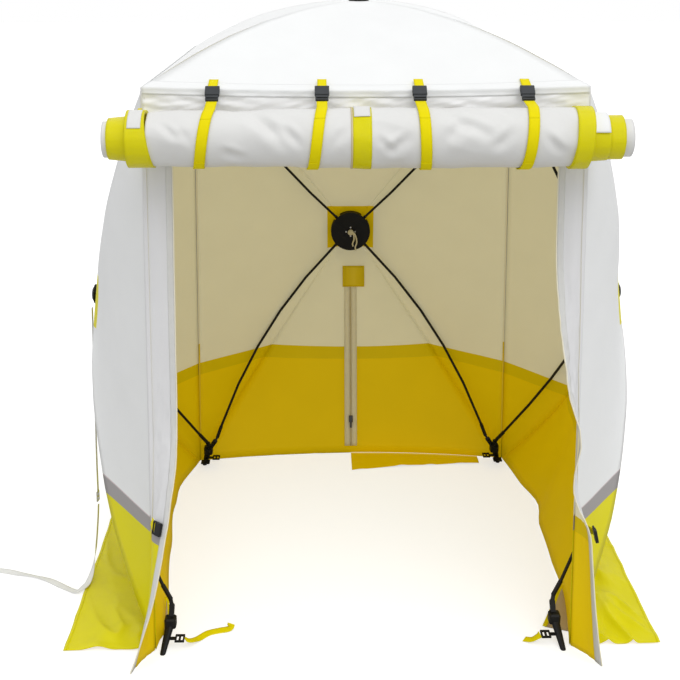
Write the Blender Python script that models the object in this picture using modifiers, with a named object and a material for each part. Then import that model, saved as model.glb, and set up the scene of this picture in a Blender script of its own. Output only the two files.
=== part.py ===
"""Pop-up work tent: three sprung walls and a sprung roof, each on four bent rods and a hub,
with a rolled-up front door, ground skirts, straps, buckles and a guy line.
Metres, +Z up. The open front faces -Y, and the tent stands on z = 0."""
import math
import bmesh
import bpy
from mathutils import Matrix, Vector

# Driving sizes of the tent
EAVE_WIDTH = 1.24
BASE_WIDTH = 1.31
EAVE_HEIGHT = 1.775
ROOF_RISE = 0.205
WALL_BULGE = 0.28
WALL_HUB_HEIGHT = 0.967
BASE_BOW = 0.065
ROOF_CROWN = 0.05
WALL_HIGH_CROWN = 0.030
WALL_LOW_CROWN = 0.080
PANEL_COLUMNS = 6
PANEL_ROWS = 7
CLOTH = 0.002
SEAM_GAP = 0.0006
FLOOR_GAP = 0.0034

# Ground skirts
SKIRT_WIDTH = 0.295
SKIRT_RIPPLE = 0.006
SKIRT_LIFT = CLOTH + 0.0004
SKIRT_COLUMNS = 12
SKIRT_ROWS = 3
FOLDED_WIDTH = 0.16
FOLD_START = 0.08
FOLD_REACH = 0.50
FOLD_RIPPLE = 0.004

# Frame: hubs, rods and corner fittings
FRAME_INSET = 0.042
ROD_DIAMETER = 0.011
ROD_SLACK = 0.005
ROD_STEP = 0.004
FERRULE_LENGTH = 0.045
FERRULE_SWELL = 1.35
TIP_LENGTH = 0.020
TIP_SWELL = 1.22
TONGUE_WIDTH = 0.009
TONGUE_DEPTH = 0.012
TONGUE_LENGTH = 0.022
EYE_RADIUS = 0.0085
PIN_RADIUS = 0.003
PIN_CLEARANCE = 0.0004
CHEEK = 0.0035
CHEEK_CLEARANCE = 0.0005
ARM_REACH = 0.050
ARM_DEPTH = 0.016
CORE_SIZE = 0.036
FOOT_PIVOT_HEIGHT = 0.075
FOOT_TOP_RADIUS = 0.015
FOOT_TIP_RADIUS = 0.009
FRONT_FOOT_LEAN = (0.020, 0.060)
BACK_FOOT_LEAN = (0.020, 0.012)
HUB_RADIUS = 0.084
HUB_THICKNESS = 0.036
HUB_CHANNEL_WIDTH = 0.034
HUB_FLOOR = 0.004
HUB_POST_RADIUS = 0.014
HUB_PIN_CIRCLE = 0.071
HUB_BOSS_RADIUS = 0.018
HUB_BOLT_RADIUS = 0.004
HUB_CAP_RADIUS = 0.030
HUB_CAP_HEIGHT = 0.006
HUB_SEAT = 0.007
RIVET_RADIUS = 0.0045
RIVET_HEIGHT = 0.002
RIVET_CIRCLE = 0.019
HUB_HOLE = 0.012

# Rolled-up door and its straps
ROLL_RADIUS = 0.084
ROLL_FORWARD = 0.108
ROLL_DROP = 0.127
ROLL_LEFT_RADIUS = 0.077
ROLL_LEFT = ((-0.714, 0.054), (-0.692, 0.059), (-0.648, ROLL_LEFT_RADIUS))
ROLL_RIGHT = ((0.600, ROLL_RADIUS), (0.650, 0.067), (0.690, 0.061), (0.716, 0.055))
ROLL_ROUND = 0.005
VALANCE_DEPTH = 0.075
VALANCE_SAG = 0.010
STRAP_WIDTH = 0.030
STRAP = 0.0016
STRAP_PLACES = ((-0.426, -0.460), (-0.124, -0.152), (0.146, 0.157), (0.445, 0.423))
BUCKLE_SLOPE = math.radians(42)
BUCKLE_START = 0.004
SOCKET_LENGTH = 0.032
SOCKET_WIDTH = 0.040
SOCKET_DEPTH = 0.011
SOCKET_WALL = 0.0018
PLUG_BASE = 0.018
PRONG_LENGTH = 0.022
PRONG_WIDTH = 0.007
PLUG_CLEARANCE = 0.0012
PLUG_SLOT = 0.004
STRAP_ROWS = 22
STRAP_CLEARANCE = 0.0030

# Front jambs
JAMB_WIDTH = 0.080
JAMB_FOOT_WIDTH = 0.125
JAMB_SEAM_GAP = 0.005
JAMB_ROWS = 15
# Heights up each jamb, and how many degrees it has swung outwards there
LEFT_TURNS = ((0.0, 118), (0.22, 86), (0.44, 56), (0.76, 0))
RIGHT_TURNS = ((0.0, 125), (0.22, 112), (0.40, 104), (0.50, 76), (0.70, 70), (0.95, 46),
               (1.30, 0))

# Back zip
ZIP_WIDTH = 0.044
ZIP_TAPE = 0.0012
ZIP_TEETH = 0.006
ZIP_CLEARANCE = 0.0045
ZIP_BOTTOM = 0.03
ZIP_BELOW_HUB = 0.167
SLIDER_HEIGHT = 0.15
SLIDER_SIZE = (0.016, 0.009, 0.030)

# Pull cord on the back hub
CORD_DIAMETER = 0.006
KNOT_RADIUS = 0.011
CORD_TAIL = 0.075

# Threshold straps and the ladder locks at the feet
LADDER_SIZE = (0.036, 0.030, 0.006)
LADDER_WINDOW = (0.026, 0.007)
LADDER_REACH = 0.042
LADDER_HEIGHT = 0.036
LADDER_LUG = 0.012
THRESHOLD_WIDTH = 0.025
LEFT_TAIL = [(0.0590, -0.002, 0.0350), (0.085, 0.002, 0.024), (0.115, 0.022, 0.005),
             (0.150, 0.056, 0.0024), (0.180, 0.088, 0.005), (0.190, 0.100, 0.014)]
RIGHT_TAIL = [(-0.0590, 0.001, 0.0350), (-0.0670, 0.001, 0.028), (-0.085, 0.008, 0.012),
              (-0.105, 0.024, 0.0024)]

# Guy line on the left: webbing from the hub, a metal buckle, and a cord laid away in a coil
GUY_WEBBING_WIDTH = 0.022
GUY_WEBBING = [(-0.9360, 0.000, 0.925), (-0.9375, -0.012, 0.800), (-0.9365, -0.045, 0.600),
               (-0.9335, -0.090, 0.400), (-0.9300, -0.118, 0.275)]
GUY_BUCKLE_SIZE = (0.034, 0.036, 0.0045)
GUY_CORD = 0.006
STRAP_END_GAP = 0.003
TWIST_START = 0.20
TWIST_END = 0.42
GUY_ROUTE = [(-0.9290, -0.128, 0.228), (-0.9300, -0.150, 0.175), (-0.9310, -0.195, 0.105),
             (-0.9340, -0.250, 0.050), (-0.9420, -0.298, 0.0220), (-0.9560, -0.324, 0.0160),
             (-0.9750, -0.332, 0.0075), (-0.9950, -0.320, 0.0034), (-1.0400, -0.290, 0.0034),
             (-1.0950, -0.252, 0.0034), (-1.1500, -0.228, 0.0034), (-1.2050, -0.212, 0.0034),
             (-1.2500, -0.1985, 0.0034), (-1.2900, -0.190, 0.0034), (-1.3240, -0.188, 0.0034)]
COIL_LEAD = 0.033
COIL_TURNS = 2
COIL_PITCH = 0.0075
COIL_INNER = 0.0270
COIL_POINTS = 24
KNOT = 0.008

GAP = 0.0003
ROOT_HALF = math.sqrt(0.5)

FRONT_REACH = EAVE_WIDTH / 2 + ROLL_FORWARD + ROLL_RADIUS + STRAP_CLEARANCE + STRAP
BACK_REACH = BASE_WIDTH / 2 + SKIRT_WIDTH
CENTRE = Vector((0, (FRONT_REACH - BACK_REACH) / 2, 0))


def clear_scene():
    for old in list(bpy.data.objects):
        bpy.data.objects.remove(old, do_unlink=True)


def make_material(name, colour, roughness, metallic=0.0):
    material = bpy.data.materials.new(name)
    material.use_nodes = True
    shader = material.node_tree.nodes["Principled BSDF"]
    shader.inputs["Base Color"].default_value = (*colour, 1.0)
    shader.inputs["Roughness"].default_value = roughness
    shader.inputs["Metallic"].default_value = metallic
    material.diffuse_color = (*colour, 1.0)
    return material


def place_object(name, mesh, material, origin=(0, 0, 0)):
    """A named part whose mesh is given in world coordinates and whose origin is set on its axis."""
    origin = Vector(origin)
    mesh.transform(Matrix.Translation(-origin))
    mesh.materials.clear()
    mesh.materials.append(material)
    part = bpy.data.objects.new(name, mesh)
    part.location = origin
    parts.objects.link(part)
    return part


def smooth_round(part, angle=0.6):
    part.data.shade_smooth()
    part.data.set_sharp_from_angle(angle=angle)
    return part


def make_mesh(build):
    """A mesh from a function that fills a bmesh."""
    bm = bmesh.new()
    build(bm)
    mesh = bpy.data.meshes.new("shape")
    bm.to_mesh(mesh)
    bm.free()
    return mesh


def axes_matrix(origin, x_axis, y_axis):
    """A frame from two square axes; the third follows from them."""
    turn = Matrix((x_axis, y_axis, x_axis.cross(y_axis))).transposed().to_4x4()
    return Matrix.Translation(origin) @ turn


def block(matrix, size, bevel=0.0):
    """A box of the given size, centred in the given frame."""
    def build(bm):
        bmesh.ops.create_cube(bm, size=1, matrix=matrix @ Matrix.Diagonal((*size, 1)))
        if bevel:
            bmesh.ops.bevel(bm, geom=bm.edges[:], offset=bevel, segments=1, profile=0.5,
                            affect="EDGES", material=-1)
    return make_mesh(build)


def drum(matrix, radius, height, sides=16, top_radius=None):
    """A cylinder or a cone frustum along the frame's Z, centred in it."""
    top = radius if top_radius is None else top_radius

    def build(bm):
        bmesh.ops.create_cone(bm, cap_ends=True, segments=sides, radius1=radius, radius2=top,
                              depth=height, matrix=matrix)
    return make_mesh(build)


def combine(base, others, operation="UNION"):
    """The base mesh with the other meshes joined to it, or cut from it."""
    body = bpy.data.objects.new("body", base)
    cutters.objects.link(body)
    tools = []
    for mesh in others:
        tool = bpy.data.objects.new("tool", mesh)
        cutters.objects.link(tool)
        modifier = body.modifiers.new("join", "BOOLEAN")
        modifier.operation = operation
        modifier.solver = "EXACT"
        modifier.object = tool
        tools.append(tool)
    graph = bpy.context.evaluated_depsgraph_get()
    graph.update()
    result = bpy.data.meshes.new_from_object(body.evaluated_get(graph))
    for used in [body] + tools:
        bpy.data.objects.remove(used, do_unlink=True)
    bm = bmesh.new()
    bm.from_mesh(result)
    bmesh.ops.remove_doubles(bm, verts=bm.verts, dist=0.00002)
    bmesh.ops.dissolve_limit(bm, angle_limit=0.002, verts=bm.verts, edges=bm.edges)
    bmesh.ops.triangulate(bm, faces=bm.faces)
    bm.to_mesh(result)
    bm.free()
    return result


def sheet(name, columns, rows, place, thickness, material, origin=(0, 0, 0), ring=False):
    """Cloth or webbing: a grid laid by place(across, along), both from 0 to 1, and thickened.
    The thickness grows to the side that the grid's normal shows, across turned towards along.
    In a ring, the first and last columns meet."""
    def build(bm):
        bmesh.ops.create_grid(bm, x_segments=columns, y_segments=rows, size=0.5)
        for vertex in bm.verts:
            vertex.co = place(vertex.co.x + 0.5, vertex.co.y + 0.5)
        if ring:
            bmesh.ops.remove_doubles(bm, verts=bm.verts, dist=0.00001)
    part = place_object(name, make_mesh(build), material, origin)
    solid = part.modifiers.new("thickness", "SOLIDIFY")
    solid.thickness = thickness
    solid.offset = 1.0
    return part


def solid_sheet(columns, rows, place, thickness):
    """A sheet as a closed mesh, for solids that share one node."""
    part = sheet("strip", columns, rows, place, thickness, strap_black)
    graph = bpy.context.evaluated_depsgraph_get()
    graph.update()
    mesh = bpy.data.meshes.new_from_object(part.evaluated_get(graph))
    bpy.data.objects.remove(part, do_unlink=True)
    return mesh


def along(points, share):
    """A point at a share of the way along a run of points."""
    lengths = [(b - a).length for a, b in zip(points, points[1:])]
    rest = share * sum(lengths)
    for start, end, length in zip(points, points[1:], lengths):
        if rest <= length:
            return start.lerp(end, rest / length)
        rest -= length
    return points[-1]


def smooth_route(points, steps=6):
    """Points on a smooth curve through the given ones."""
    ends = [points[0] * 2 - points[1]] + list(points) + [points[-1] * 2 - points[-2]]
    route = []
    for a, b, c, d in zip(ends, ends[1:], ends[2:], ends[3:]):
        for step in range(steps):
            t = step / steps
            route.append(((b * 2) + (c - a) * t + (a * 2 - b * 5 + c * 4 - d) * t * t
                          + (b * 3 - a - c * 3 + d) * t ** 3) / 2)
    route.append(points[-1].copy())
    return route


def thin_tube(points, radius):
    return tube(points, [1.0] * len(points), radius, 1)


def tube(points, radii, radius, resolution=2):
    """A closed tube along points, swollen at each by its share of the radius."""
    curve = bpy.data.curves.new("tube", "CURVE")
    curve.dimensions = "3D"
    curve.bevel_depth = radius
    curve.bevel_resolution = resolution
    curve.use_fill_caps = True
    spline = curve.splines.new("POLY")
    spline.points.add(len(points) - 1)
    for knot, point, swell in zip(spline.points, points, radii):
        knot.co = (*point, 1.0)
        knot.radius = swell
    carrier = bpy.data.objects.new("tube", curve)
    cutters.objects.link(carrier)
    graph = bpy.context.evaluated_depsgraph_get()
    graph.update()
    mesh = bpy.data.meshes.new_from_object(carrier.evaluated_get(graph))
    bpy.data.objects.remove(carrier, do_unlink=True)
    bm = bmesh.new()
    bm.from_mesh(mesh)
    bmesh.ops.remove_doubles(bm, verts=bm.verts, dist=0.00001)
    bmesh.ops.recalc_face_normals(bm, faces=bm.faces)
    bm.to_mesh(mesh)
    bm.free()
    return mesh


class Face:
    """A sprung side of the tent: a flat frame of four corners that its hub stands out from.
    Corners run anticlockwise, seen from outside, from the lower one on the left-hand side."""

    def __init__(self, name, origin, right, up, corners, pivots, hub, bulge, crowns, edges,
                 names):
        self.name = name
        self.origin = Vector(origin)
        self.right = Vector(right).normalized()
        self.up = Vector(up).normalized()
        self.out = self.right.cross(self.up)
        self.corners = [Vector(c) for c in corners]
        self.pivots = [Vector(p) for p in pivots]
        self.hub = Vector(hub)
        self.bulge = bulge
        self.crowns = crowns
        self.edges = edges
        self.names = names

    def point(self, flat, out=0.0):
        return self.origin + self.right * flat[0] + self.up * flat[1] + self.out * out

    def direction(self, flat, out=0.0):
        return self.right * flat[0] + self.up * flat[1] + self.out * out


def wall_face(name, turn, edges, names):
    """A wall, leaning in a little to the eaves. The back wall's turn is 0."""
    spin = Matrix.Rotation(turn, 3, "Z")
    lean = (EAVE_WIDTH - BASE_WIDTH) / 2
    rise = EAVE_HEIGHT - FLOOR_GAP
    length = math.hypot(lean, rise)
    base, eave = BASE_WIDTH / 2, EAVE_WIDTH / 2
    low = FOOT_PIVOT_HEIGHT - FLOOR_GAP
    corners = [(-base, 0), (base, 0), (eave, length), (-eave, length)]
    pivots = [(-base + FRAME_INSET, low), (base - FRAME_INSET, low),
              (eave - FRAME_INSET, length - FRAME_INSET),
              (-eave + FRAME_INSET, length - FRAME_INSET)]
    origin = CENTRE + spin @ Vector((0, base, FLOOR_GAP))
    return Face(name, origin, spin @ Vector((-1, 0, 0)), spin @ Vector((0, lean, rise)),
                corners, pivots, (0, WALL_HUB_HEIGHT), WALL_BULGE,
                (WALL_LOW_CROWN, WALL_LOW_CROWN, WALL_HIGH_CROWN, WALL_HIGH_CROWN), edges, names)


def roof_face():
    half = EAVE_WIDTH / 2
    near = half - FRAME_INSET
    corners = [(-half, -half), (half, -half), (half, half), (-half, half)]
    pivots = [(-near, -near), (near, -near), (near, near), (-near, near)]
    return Face("roof", CENTRE + Vector((0, 0, EAVE_HEIGHT)), (1, 0, 0), (0, 1, 0),
                corners, pivots, (0, 0), ROOF_RISE, (ROOF_CROWN,) * 4,
                ("front", "right", "back", "left"),
                ("front_left", "front_right", "back_right", "back_left"))


def panel_height(face, edge, across, share):
    """How far a panel stands out of its face: a straight rise to the hub, a crown between
    edge and hub, less of it down the middle, and a bow outwards along the ground."""
    side = abs(2 * across - 1)
    ground = face.edges[edge] == "bottom"
    middle = 0.15 if ground else 0.6
    near_hub = min(1.0, max(0.0, (share - 0.82) / 0.08))
    first, last = face.crowns[edge], face.crowns[(edge + 1) % 4]
    crown = 4 * share * (1 - share) * (first + (last - first) * across)
    crown *= middle + (1 - middle) * max(side * side, near_hub)
    bow = BASE_BOW * (1 - side ** 2) * (1 - share) if ground else 0.0
    return face.bulge * share + crown + bow


def panel_point(face, edge, across, share):
    corners = []
    for corner in (face.corners[edge], face.corners[(edge + 1) % 4]):
        inward = Vector((-math.copysign(SEAM_GAP, corner.x),
                         SEAM_GAP if corner in face.corners[:2] else -SEAM_GAP))
        corners.append(corner + inward)
    flat = corners[0].lerp(corners[1], across).lerp(face.hub, share)
    return face.point(flat, panel_height(face, edge, across, share))


def make_panel(face):
    """The cloth of a face, between its four edges and its hub, with a hole for the hub's bolt."""
    reach = 1 - HUB_HOLE / (face.corners[2] - face.hub).length

    def place(around, inward):
        edge = min(3, int(around * 4))
        return panel_point(face, edge, around * 4 - edge, inward * reach)
    return sheet(f"{face.name}_panel", 4 * PANEL_COLUMNS, PANEL_ROWS, place, CLOTH, white_cloth,
                 face.point(face.hub), True)


def rod_frame(face, corner):
    """Where a rod lies: its pivot, its tip at the hub, the pin's axis and the chord."""
    start = face.pivots[corner]
    toward = (face.hub - start).normalized()
    pivot = start + toward * ARM_REACH
    sign = Vector((math.copysign(1, start.x - face.hub.x), math.copysign(1, start.y - face.hub.y)))
    tip = face.hub + sign * HUB_PIN_CIRCLE * ROOT_HALF
    flat = (tip - pivot).normalized()
    pivot_point = face.point(pivot, -FRAME_INSET)
    tip_point = face.point(tip, face.bulge - FRAME_INSET)
    axis = face.out.cross(face.direction(flat))
    return pivot_point, tip_point, axis, flat, sign


def make_rod(face, corner):
    """A bent rod: an eye in the corner fitting's fork, a ferrule, and a tip in the hub."""
    pivot, tip, axis, flat, sign = rod_frame(face, corner)
    chord = (tip - pivot).normalized()
    lift = axis.cross(chord).normalized()
    if lift.dot(face.out) < 0:
        lift = -lift
    start = pivot + chord * TONGUE_LENGTH
    length = (tip - start).length
    crown = face.crowns[corner] - ROD_SLACK
    leave = -sign * ROOT_HALF
    swerve = math.atan2(flat.cross(leave), flat.dot(leave))
    side = face.direction(Vector((-flat.y, flat.x)))

    def bend(distance):
        x = distance / length
        bow = x * (1 - x)
        return (start + chord * distance - side * swerve * length * bow
                + lift * crown * 4 * bow)
    middle = length - TIP_LENGTH - FERRULE_LENGTH - 2 * ROD_STEP
    bare = [FERRULE_LENGTH + ROD_STEP + middle * k / 5 for k in range(6)]
    stations = [-ROD_STEP, FERRULE_LENGTH] + bare + [length - TIP_LENGTH, length]
    swells = [FERRULE_SWELL] * 2 + [1.0] * 6 + [TIP_SWELL] * 2
    bar = tube([bend(s) for s in stations], swells, ROD_DIAMETER / 2)
    frame = axes_matrix(pivot, chord, lift)
    tongue = block(frame @ Matrix.Translation(((TONGUE_LENGTH + ROD_STEP) / 2, 0, 0)),
                   (TONGUE_LENGTH + ROD_STEP, TONGUE_DEPTH, TONGUE_WIDTH))
    eye = drum(frame, EYE_RADIUS, TONGUE_WIDTH, 10)
    hole = drum(frame, PIN_RADIUS + PIN_CLEARANCE, TONGUE_WIDTH * 2, 8)
    mesh = combine(combine(bar, [tongue, eye]), [hole], "DIFFERENCE")
    part = place_object(f"{face.name}_rod_{face.names[corner]}", mesh, black_rod, pivot)
    return smooth_round(part)


def fork_pieces(core, face, corner):
    """An arm from a corner fitting to a rod's pin: its round-ended bar, the slot that takes
    the rod's tongue, and the pin across the slot."""
    pivot, tip, axis, flat, sign = rod_frame(face, corner)
    frame = axes_matrix(pivot, face.direction(flat), face.out)
    inner = TONGUE_WIDTH / 2 + CHEEK_CLEARANCE
    width = 2 * (inner + CHEEK)
    length = (pivot - core).length
    bar = block(frame @ Matrix.Translation((-length / 2, 0, 0)), (length, ARM_DEPTH, width))
    end = drum(frame, ARM_DEPTH / 2 + 0.0004, width + 0.0006, 10)
    back = EYE_RADIUS + 0.003
    slot = block(frame @ Matrix.Translation(((ARM_DEPTH - back) / 2, 0, 0)),
                 (ARM_DEPTH + back, ARM_DEPTH * 2, 2 * inner))
    pin = drum(frame, PIN_RADIUS, width - CHEEK / 2, 8)
    return [bar, end], slot, pin


def ladder_lock(core, reach):
    """A webbing buckle with two windows, on a lug from the foot that carries it."""
    spot = core + reach * LADDER_REACH
    frame = axes_matrix(spot, reach.cross(Vector((0, 0, 1))), -reach)
    body = block(frame, LADDER_SIZE)
    cuts = []
    for shift in (-1, 1):
        cuts.append(block(frame @ Matrix.Translation((0, shift * LADDER_SIZE[1] * 0.22, 0)),
                          (*LADDER_WINDOW, LADDER_SIZE[2] * 3)))
    length = LADDER_REACH - LADDER_SIZE[1] / 2 + 0.003
    lug = block(frame @ Matrix.Translation((0, LADDER_REACH - length / 2, 0)),
                (LADDER_LUG, length, LADDER_SIZE[2] * 0.8))
    return [combine(body, cuts, "DIFFERENCE"), lug]


def foot_point(x_sign, y_sign, height):
    """A point on the slanting axis of a foot, which stands out from its corner fitting."""
    inner = BASE_WIDTH / 2 - FRAME_INSET
    lean = FRONT_FOOT_LEAN if y_sign < 0 else BACK_FOOT_LEAN
    share = 1 - height / FOOT_PIVOT_HEIGHT
    return CENTRE + Vector((x_sign * (inner + lean[0] * share),
                            y_sign * (inner + lean[1] * share), height))


def make_corner(name, x_sign, y_sign, top, faces):
    """A moulded corner with a fork for each rod that meets there. The lower ones have a foot,
    and ladder locks for the webbing that tightens the base."""
    half = (EAVE_WIDTH if top else BASE_WIDTH) / 2 - FRAME_INSET
    height = EAVE_HEIGHT - FRAME_INSET if top else FOOT_PIVOT_HEIGHT
    core = CENTRE + Vector((x_sign * half, y_sign * half, height))
    bars, slots, pins = [], [], []
    for face in faces:
        for corner in range(4):
            if (rod_frame(face, corner)[0] - core).length < ARM_REACH * 1.6:
                fork, slot, pin = fork_pieces(core, face, corner)
                bars += fork
                slots.append(slot)
                pins.append(pin)
    if not top:
        foot = Matrix.Translation(foot_point(x_sign, y_sign, height / 2))
        slant = (core - foot_point(x_sign, y_sign, 0)) / height
        foot[0][2], foot[1][2] = slant.x, slant.y
        bars.append(drum(foot, FOOT_TIP_RADIUS, height, 12, FOOT_TOP_RADIUS))
        low = foot_point(x_sign, y_sign, LADDER_HEIGHT)
        bars += ladder_lock(low, Vector((-x_sign, 0, 0)))
        if y_sign > 0:
            bars += ladder_lock(low, Vector((0, -1, 0)))
    mesh = combine(block(Matrix.Translation(core), (CORE_SIZE,) * 3, 0.005), bars)
    mesh = combine(combine(mesh, slots, "DIFFERENCE"), pins)
    return place_object(name, mesh, black_plastic, core)


def make_hub(face):
    """A hub: a dish with four channels for the rods, open towards the cloth, and a post, a boss
    and a cap that grip the cloth."""
    middle = face.point(face.hub, face.bulge - FRAME_INSET)
    frame = axes_matrix(middle, face.right, face.up)
    half = HUB_THICKNESS / 2
    depth = HUB_THICKNESS - HUB_FLOOR + 0.01
    lift = Matrix.Translation((0, 0, HUB_FLOOR - half + depth / 2))
    channels = []
    for quarter in (math.pi / 4, -math.pi / 4):
        channels.append(block(frame @ Matrix.Rotation(quarter, 4, "Z") @ lift,
                              (HUB_RADIUS * 2.5, HUB_CHANNEL_WIDTH, depth)))
    body = combine(drum(frame, HUB_RADIUS, HUB_THICKNESS, 32), channels, "DIFFERENCE")
    cloth_under = FRAME_INSET - HUB_SEAT
    cloth_over = FRAME_INSET + HUB_SEAT
    boss_length = cloth_under - half + 0.002
    post_foot = HUB_FLOOR - half - 0.002
    post_length = cloth_under - 0.002 - post_foot
    pieces = [drum(frame @ Matrix.Translation((0, 0, post_foot + post_length / 2)),
                   HUB_POST_RADIUS, post_length, 16),
              drum(frame @ Matrix.Translation((0, 0, cloth_under - boss_length / 2)),
                   HUB_BOSS_RADIUS * 1.4, boss_length, 16, HUB_BOSS_RADIUS)]
    bolt_length = cloth_over - cloth_under + 0.006
    pieces.append(drum(frame @ Matrix.Translation((0, 0, FRAME_INSET)), HUB_BOLT_RADIUS,
                       bolt_length, 10))
    pieces.append(drum(frame @ Matrix.Translation((0, 0, cloth_over + HUB_CAP_HEIGHT / 2)),
                       HUB_CAP_RADIUS, HUB_CAP_HEIGHT, 16, HUB_CAP_RADIUS * 0.7))
    for quarter in range(4):
        spot = Matrix.Rotation(quarter * math.pi / 2, 4, "Z") @ Vector((RIVET_CIRCLE, 0, 0))
        spot.z = -half - RIVET_HEIGHT / 2
        pieces.append(drum(frame @ Matrix.Translation(spot), RIVET_RADIUS, RIVET_HEIGHT + 0.002, 8))
    part = place_object(f"{face.name}_hub", combine(body, pieces), black_plastic, middle)
    return smooth_round(part)


def make_pull_cord(face):
    """The knotted cord that hangs from the back hub, for pulling the wall in."""
    middle = face.point(face.hub, face.bulge - FRAME_INSET)
    inward = -face.out
    knot_at = middle + inward * (HUB_THICKNESS / 2 + GAP + KNOT_RADIUS)
    knot = make_mesh(lambda bm: bmesh.ops.create_uvsphere(
        bm, u_segments=10, v_segments=7, radius=KNOT_RADIUS,
        matrix=Matrix.Translation(knot_at)))
    tails = []
    for turn in (-1, 1):
        top = knot_at + face.right * turn * 0.003 + inward * 0.003
        side = face.right * turn
        down = Vector((0, 0, -1))
        bent = [top, top + down * KNOT_RADIUS * 1.3 + side * 0.002,
                top + down * CORD_TAIL * 0.55 + side * 0.007,
                top + down * CORD_TAIL + side * 0.009]
        route = smooth_route(bent, 2)
        tails.append(tube(route, [1.0] * len(route), CORD_DIAMETER / 2))
    return place_object("hub_pull_cord", combine(knot, tails), cord_white, knot_at)


def skirt_point(turn, across, share):
    """A point of a ground skirt: out from the wall's bowed foot, with soft ripples."""
    spin = Matrix.Rotation(turn, 3, "Z")
    side = 2 * across - 1
    inner = BASE_WIDTH / 2 + BASE_BOW * (1 - side * side) + 2 * CLOTH
    outer = BASE_WIDTH / 2 + SKIRT_WIDTH
    wave = 0.5 - 0.5 * math.cos(math.tau * (2.5 * across + 0.6 * share))
    flat = Vector((-side * BASE_WIDTH / 2, inner + (outer - inner) * share,
                   SKIRT_LIFT + SKIRT_RIPPLE * share * wave))
    return CENTRE + spin @ flat


def folded_point(across, share):
    """The half of the back skirt that is folded in over the floor, narrowing to the corner."""
    along_wall = FOLD_START + (FOLD_REACH - FOLD_START) * across
    side = 2 * along_wall - 1
    edge = BASE_WIDTH / 2 + BASE_BOW * (1 - side * side)
    width = FOLDED_WIDTH * (1 - 0.6 * (1 - across))
    wave = 0.5 - 0.5 * math.cos(math.tau * (2 * across + 0.3))
    depth = edge + 0.004 - (width + 0.004) * (1 - share)
    ripple = FOLD_RIPPLE * min(1.0, 2 * (1 - share)) * wave * (1 - across ** 8)
    return CENTRE + Vector((-side * BASE_WIDTH / 2, depth, SKIRT_LIFT + ripple))


def make_skirts():
    """Skirts on the ground by the left and right walls, and one at the back, half folded in."""
    for name, turn in (("skirt_left", math.pi / 2), ("skirt_right", -math.pi / 2)):
        sheet(name, SKIRT_COLUMNS, SKIRT_ROWS, lambda a, s: skirt_point(turn, a, s), CLOTH,
              yellow_cloth)

    def outside(across, share):
        start = FOLD_REACH - 0.01
        point = skirt_point(0, start + (1 - start) * across, share)
        point.y -= (0.012 + 2 * CLOTH) * (1 - share)
        return point
    half = SKIRT_COLUMNS // 2 + 1
    folded = solid_sheet(half, SKIRT_ROWS, folded_point, CLOTH)
    both = combine(solid_sheet(half, SKIRT_ROWS, outside, CLOTH), [folded])
    place_object("skirt_back", both, yellow_cloth)


def turn_at(turns, height):
    """How far a jamb has swung at a height, in radians, between the stated ones."""
    for (low, first), (high, second) in zip(turns, turns[1:]):
        if height <= high:
            return -math.radians(first + (second - first) * (height - low) / (high - low))
    return 0.0


def make_jamb(name, x_sign, turns):
    """A strip of the front wall beside the doorway. Its lower end swings round and forwards."""
    rise = EAVE_HEIGHT - VALANCE_DEPTH / 2
    turn_height = turns[-1][0]

    def place(across, up):
        height = FLOOR_GAP + 0.002 + (rise - FLOOR_GAP) * up
        half = BASE_WIDTH / 2 + (EAVE_WIDTH - BASE_WIDTH) / 2 * height / EAVE_HEIGHT
        low = max(0.0, 1 - height / turn_height)
        turn = turn_at(turns, height)
        width = JAMB_WIDTH + (JAMB_FOOT_WIDTH - JAMB_WIDTH) * low ** 2
        wave = 0.006 * math.sin(math.pi * across) * (1 + math.sin(math.tau * 1.6 * up))
        seam = half + JAMB_SEAM_GAP
        x = -seam + math.cos(turn) * width * across + math.sin(turn) * wave
        y = -seam + math.sin(turn) * width * across - math.cos(turn) * wave
        return CENTRE + Vector((-x_sign * x, y, height))
    if x_sign > 0:
        return sheet(name, 4, JAMB_ROWS, lambda a, u: place(1 - a, u), CLOTH, white_cloth)
    return sheet(name, 4, JAMB_ROWS, place, CLOTH, white_cloth)


def valance_bottom(x):
    side = x / (EAVE_WIDTH / 2)
    return EAVE_HEIGHT - 0.004 - VALANCE_SAG * (1 - side * side) - VALANCE_DEPTH


def make_valance():
    """The strip of front wall that hangs from the eave, between the jambs, above the door."""
    half = EAVE_WIDTH / 2 - JAMB_WIDTH - 0.004

    def place(across, up):
        x = half * (2 * across - 1)
        top = valance_bottom(x) + VALANCE_DEPTH
        z = top - VALANCE_DEPTH * (1 - up)
        y = -EAVE_WIDTH / 2 - 0.0035 - 0.004 * math.sin(math.pi * up)
        return CENTRE + Vector((x, y, z))
    return sheet("front_valance", 12, 3, place, CLOTH, white_cloth)


def roll_centre():
    return CENTRE + Vector((0, -EAVE_WIDTH / 2 - ROLL_FORWARD, EAVE_HEIGHT - ROLL_DROP))


def roll_radius(x):
    """The main turn's radius: full from the middle to the right, tapering to its left end."""
    left = ROLL_LEFT[-1][0]
    share = max(0.0, min(1.0, 1 - x / left))
    return ROLL_LEFT_RADIUS + (ROLL_RADIUS - ROLL_LEFT_RADIUS) * share


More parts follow.
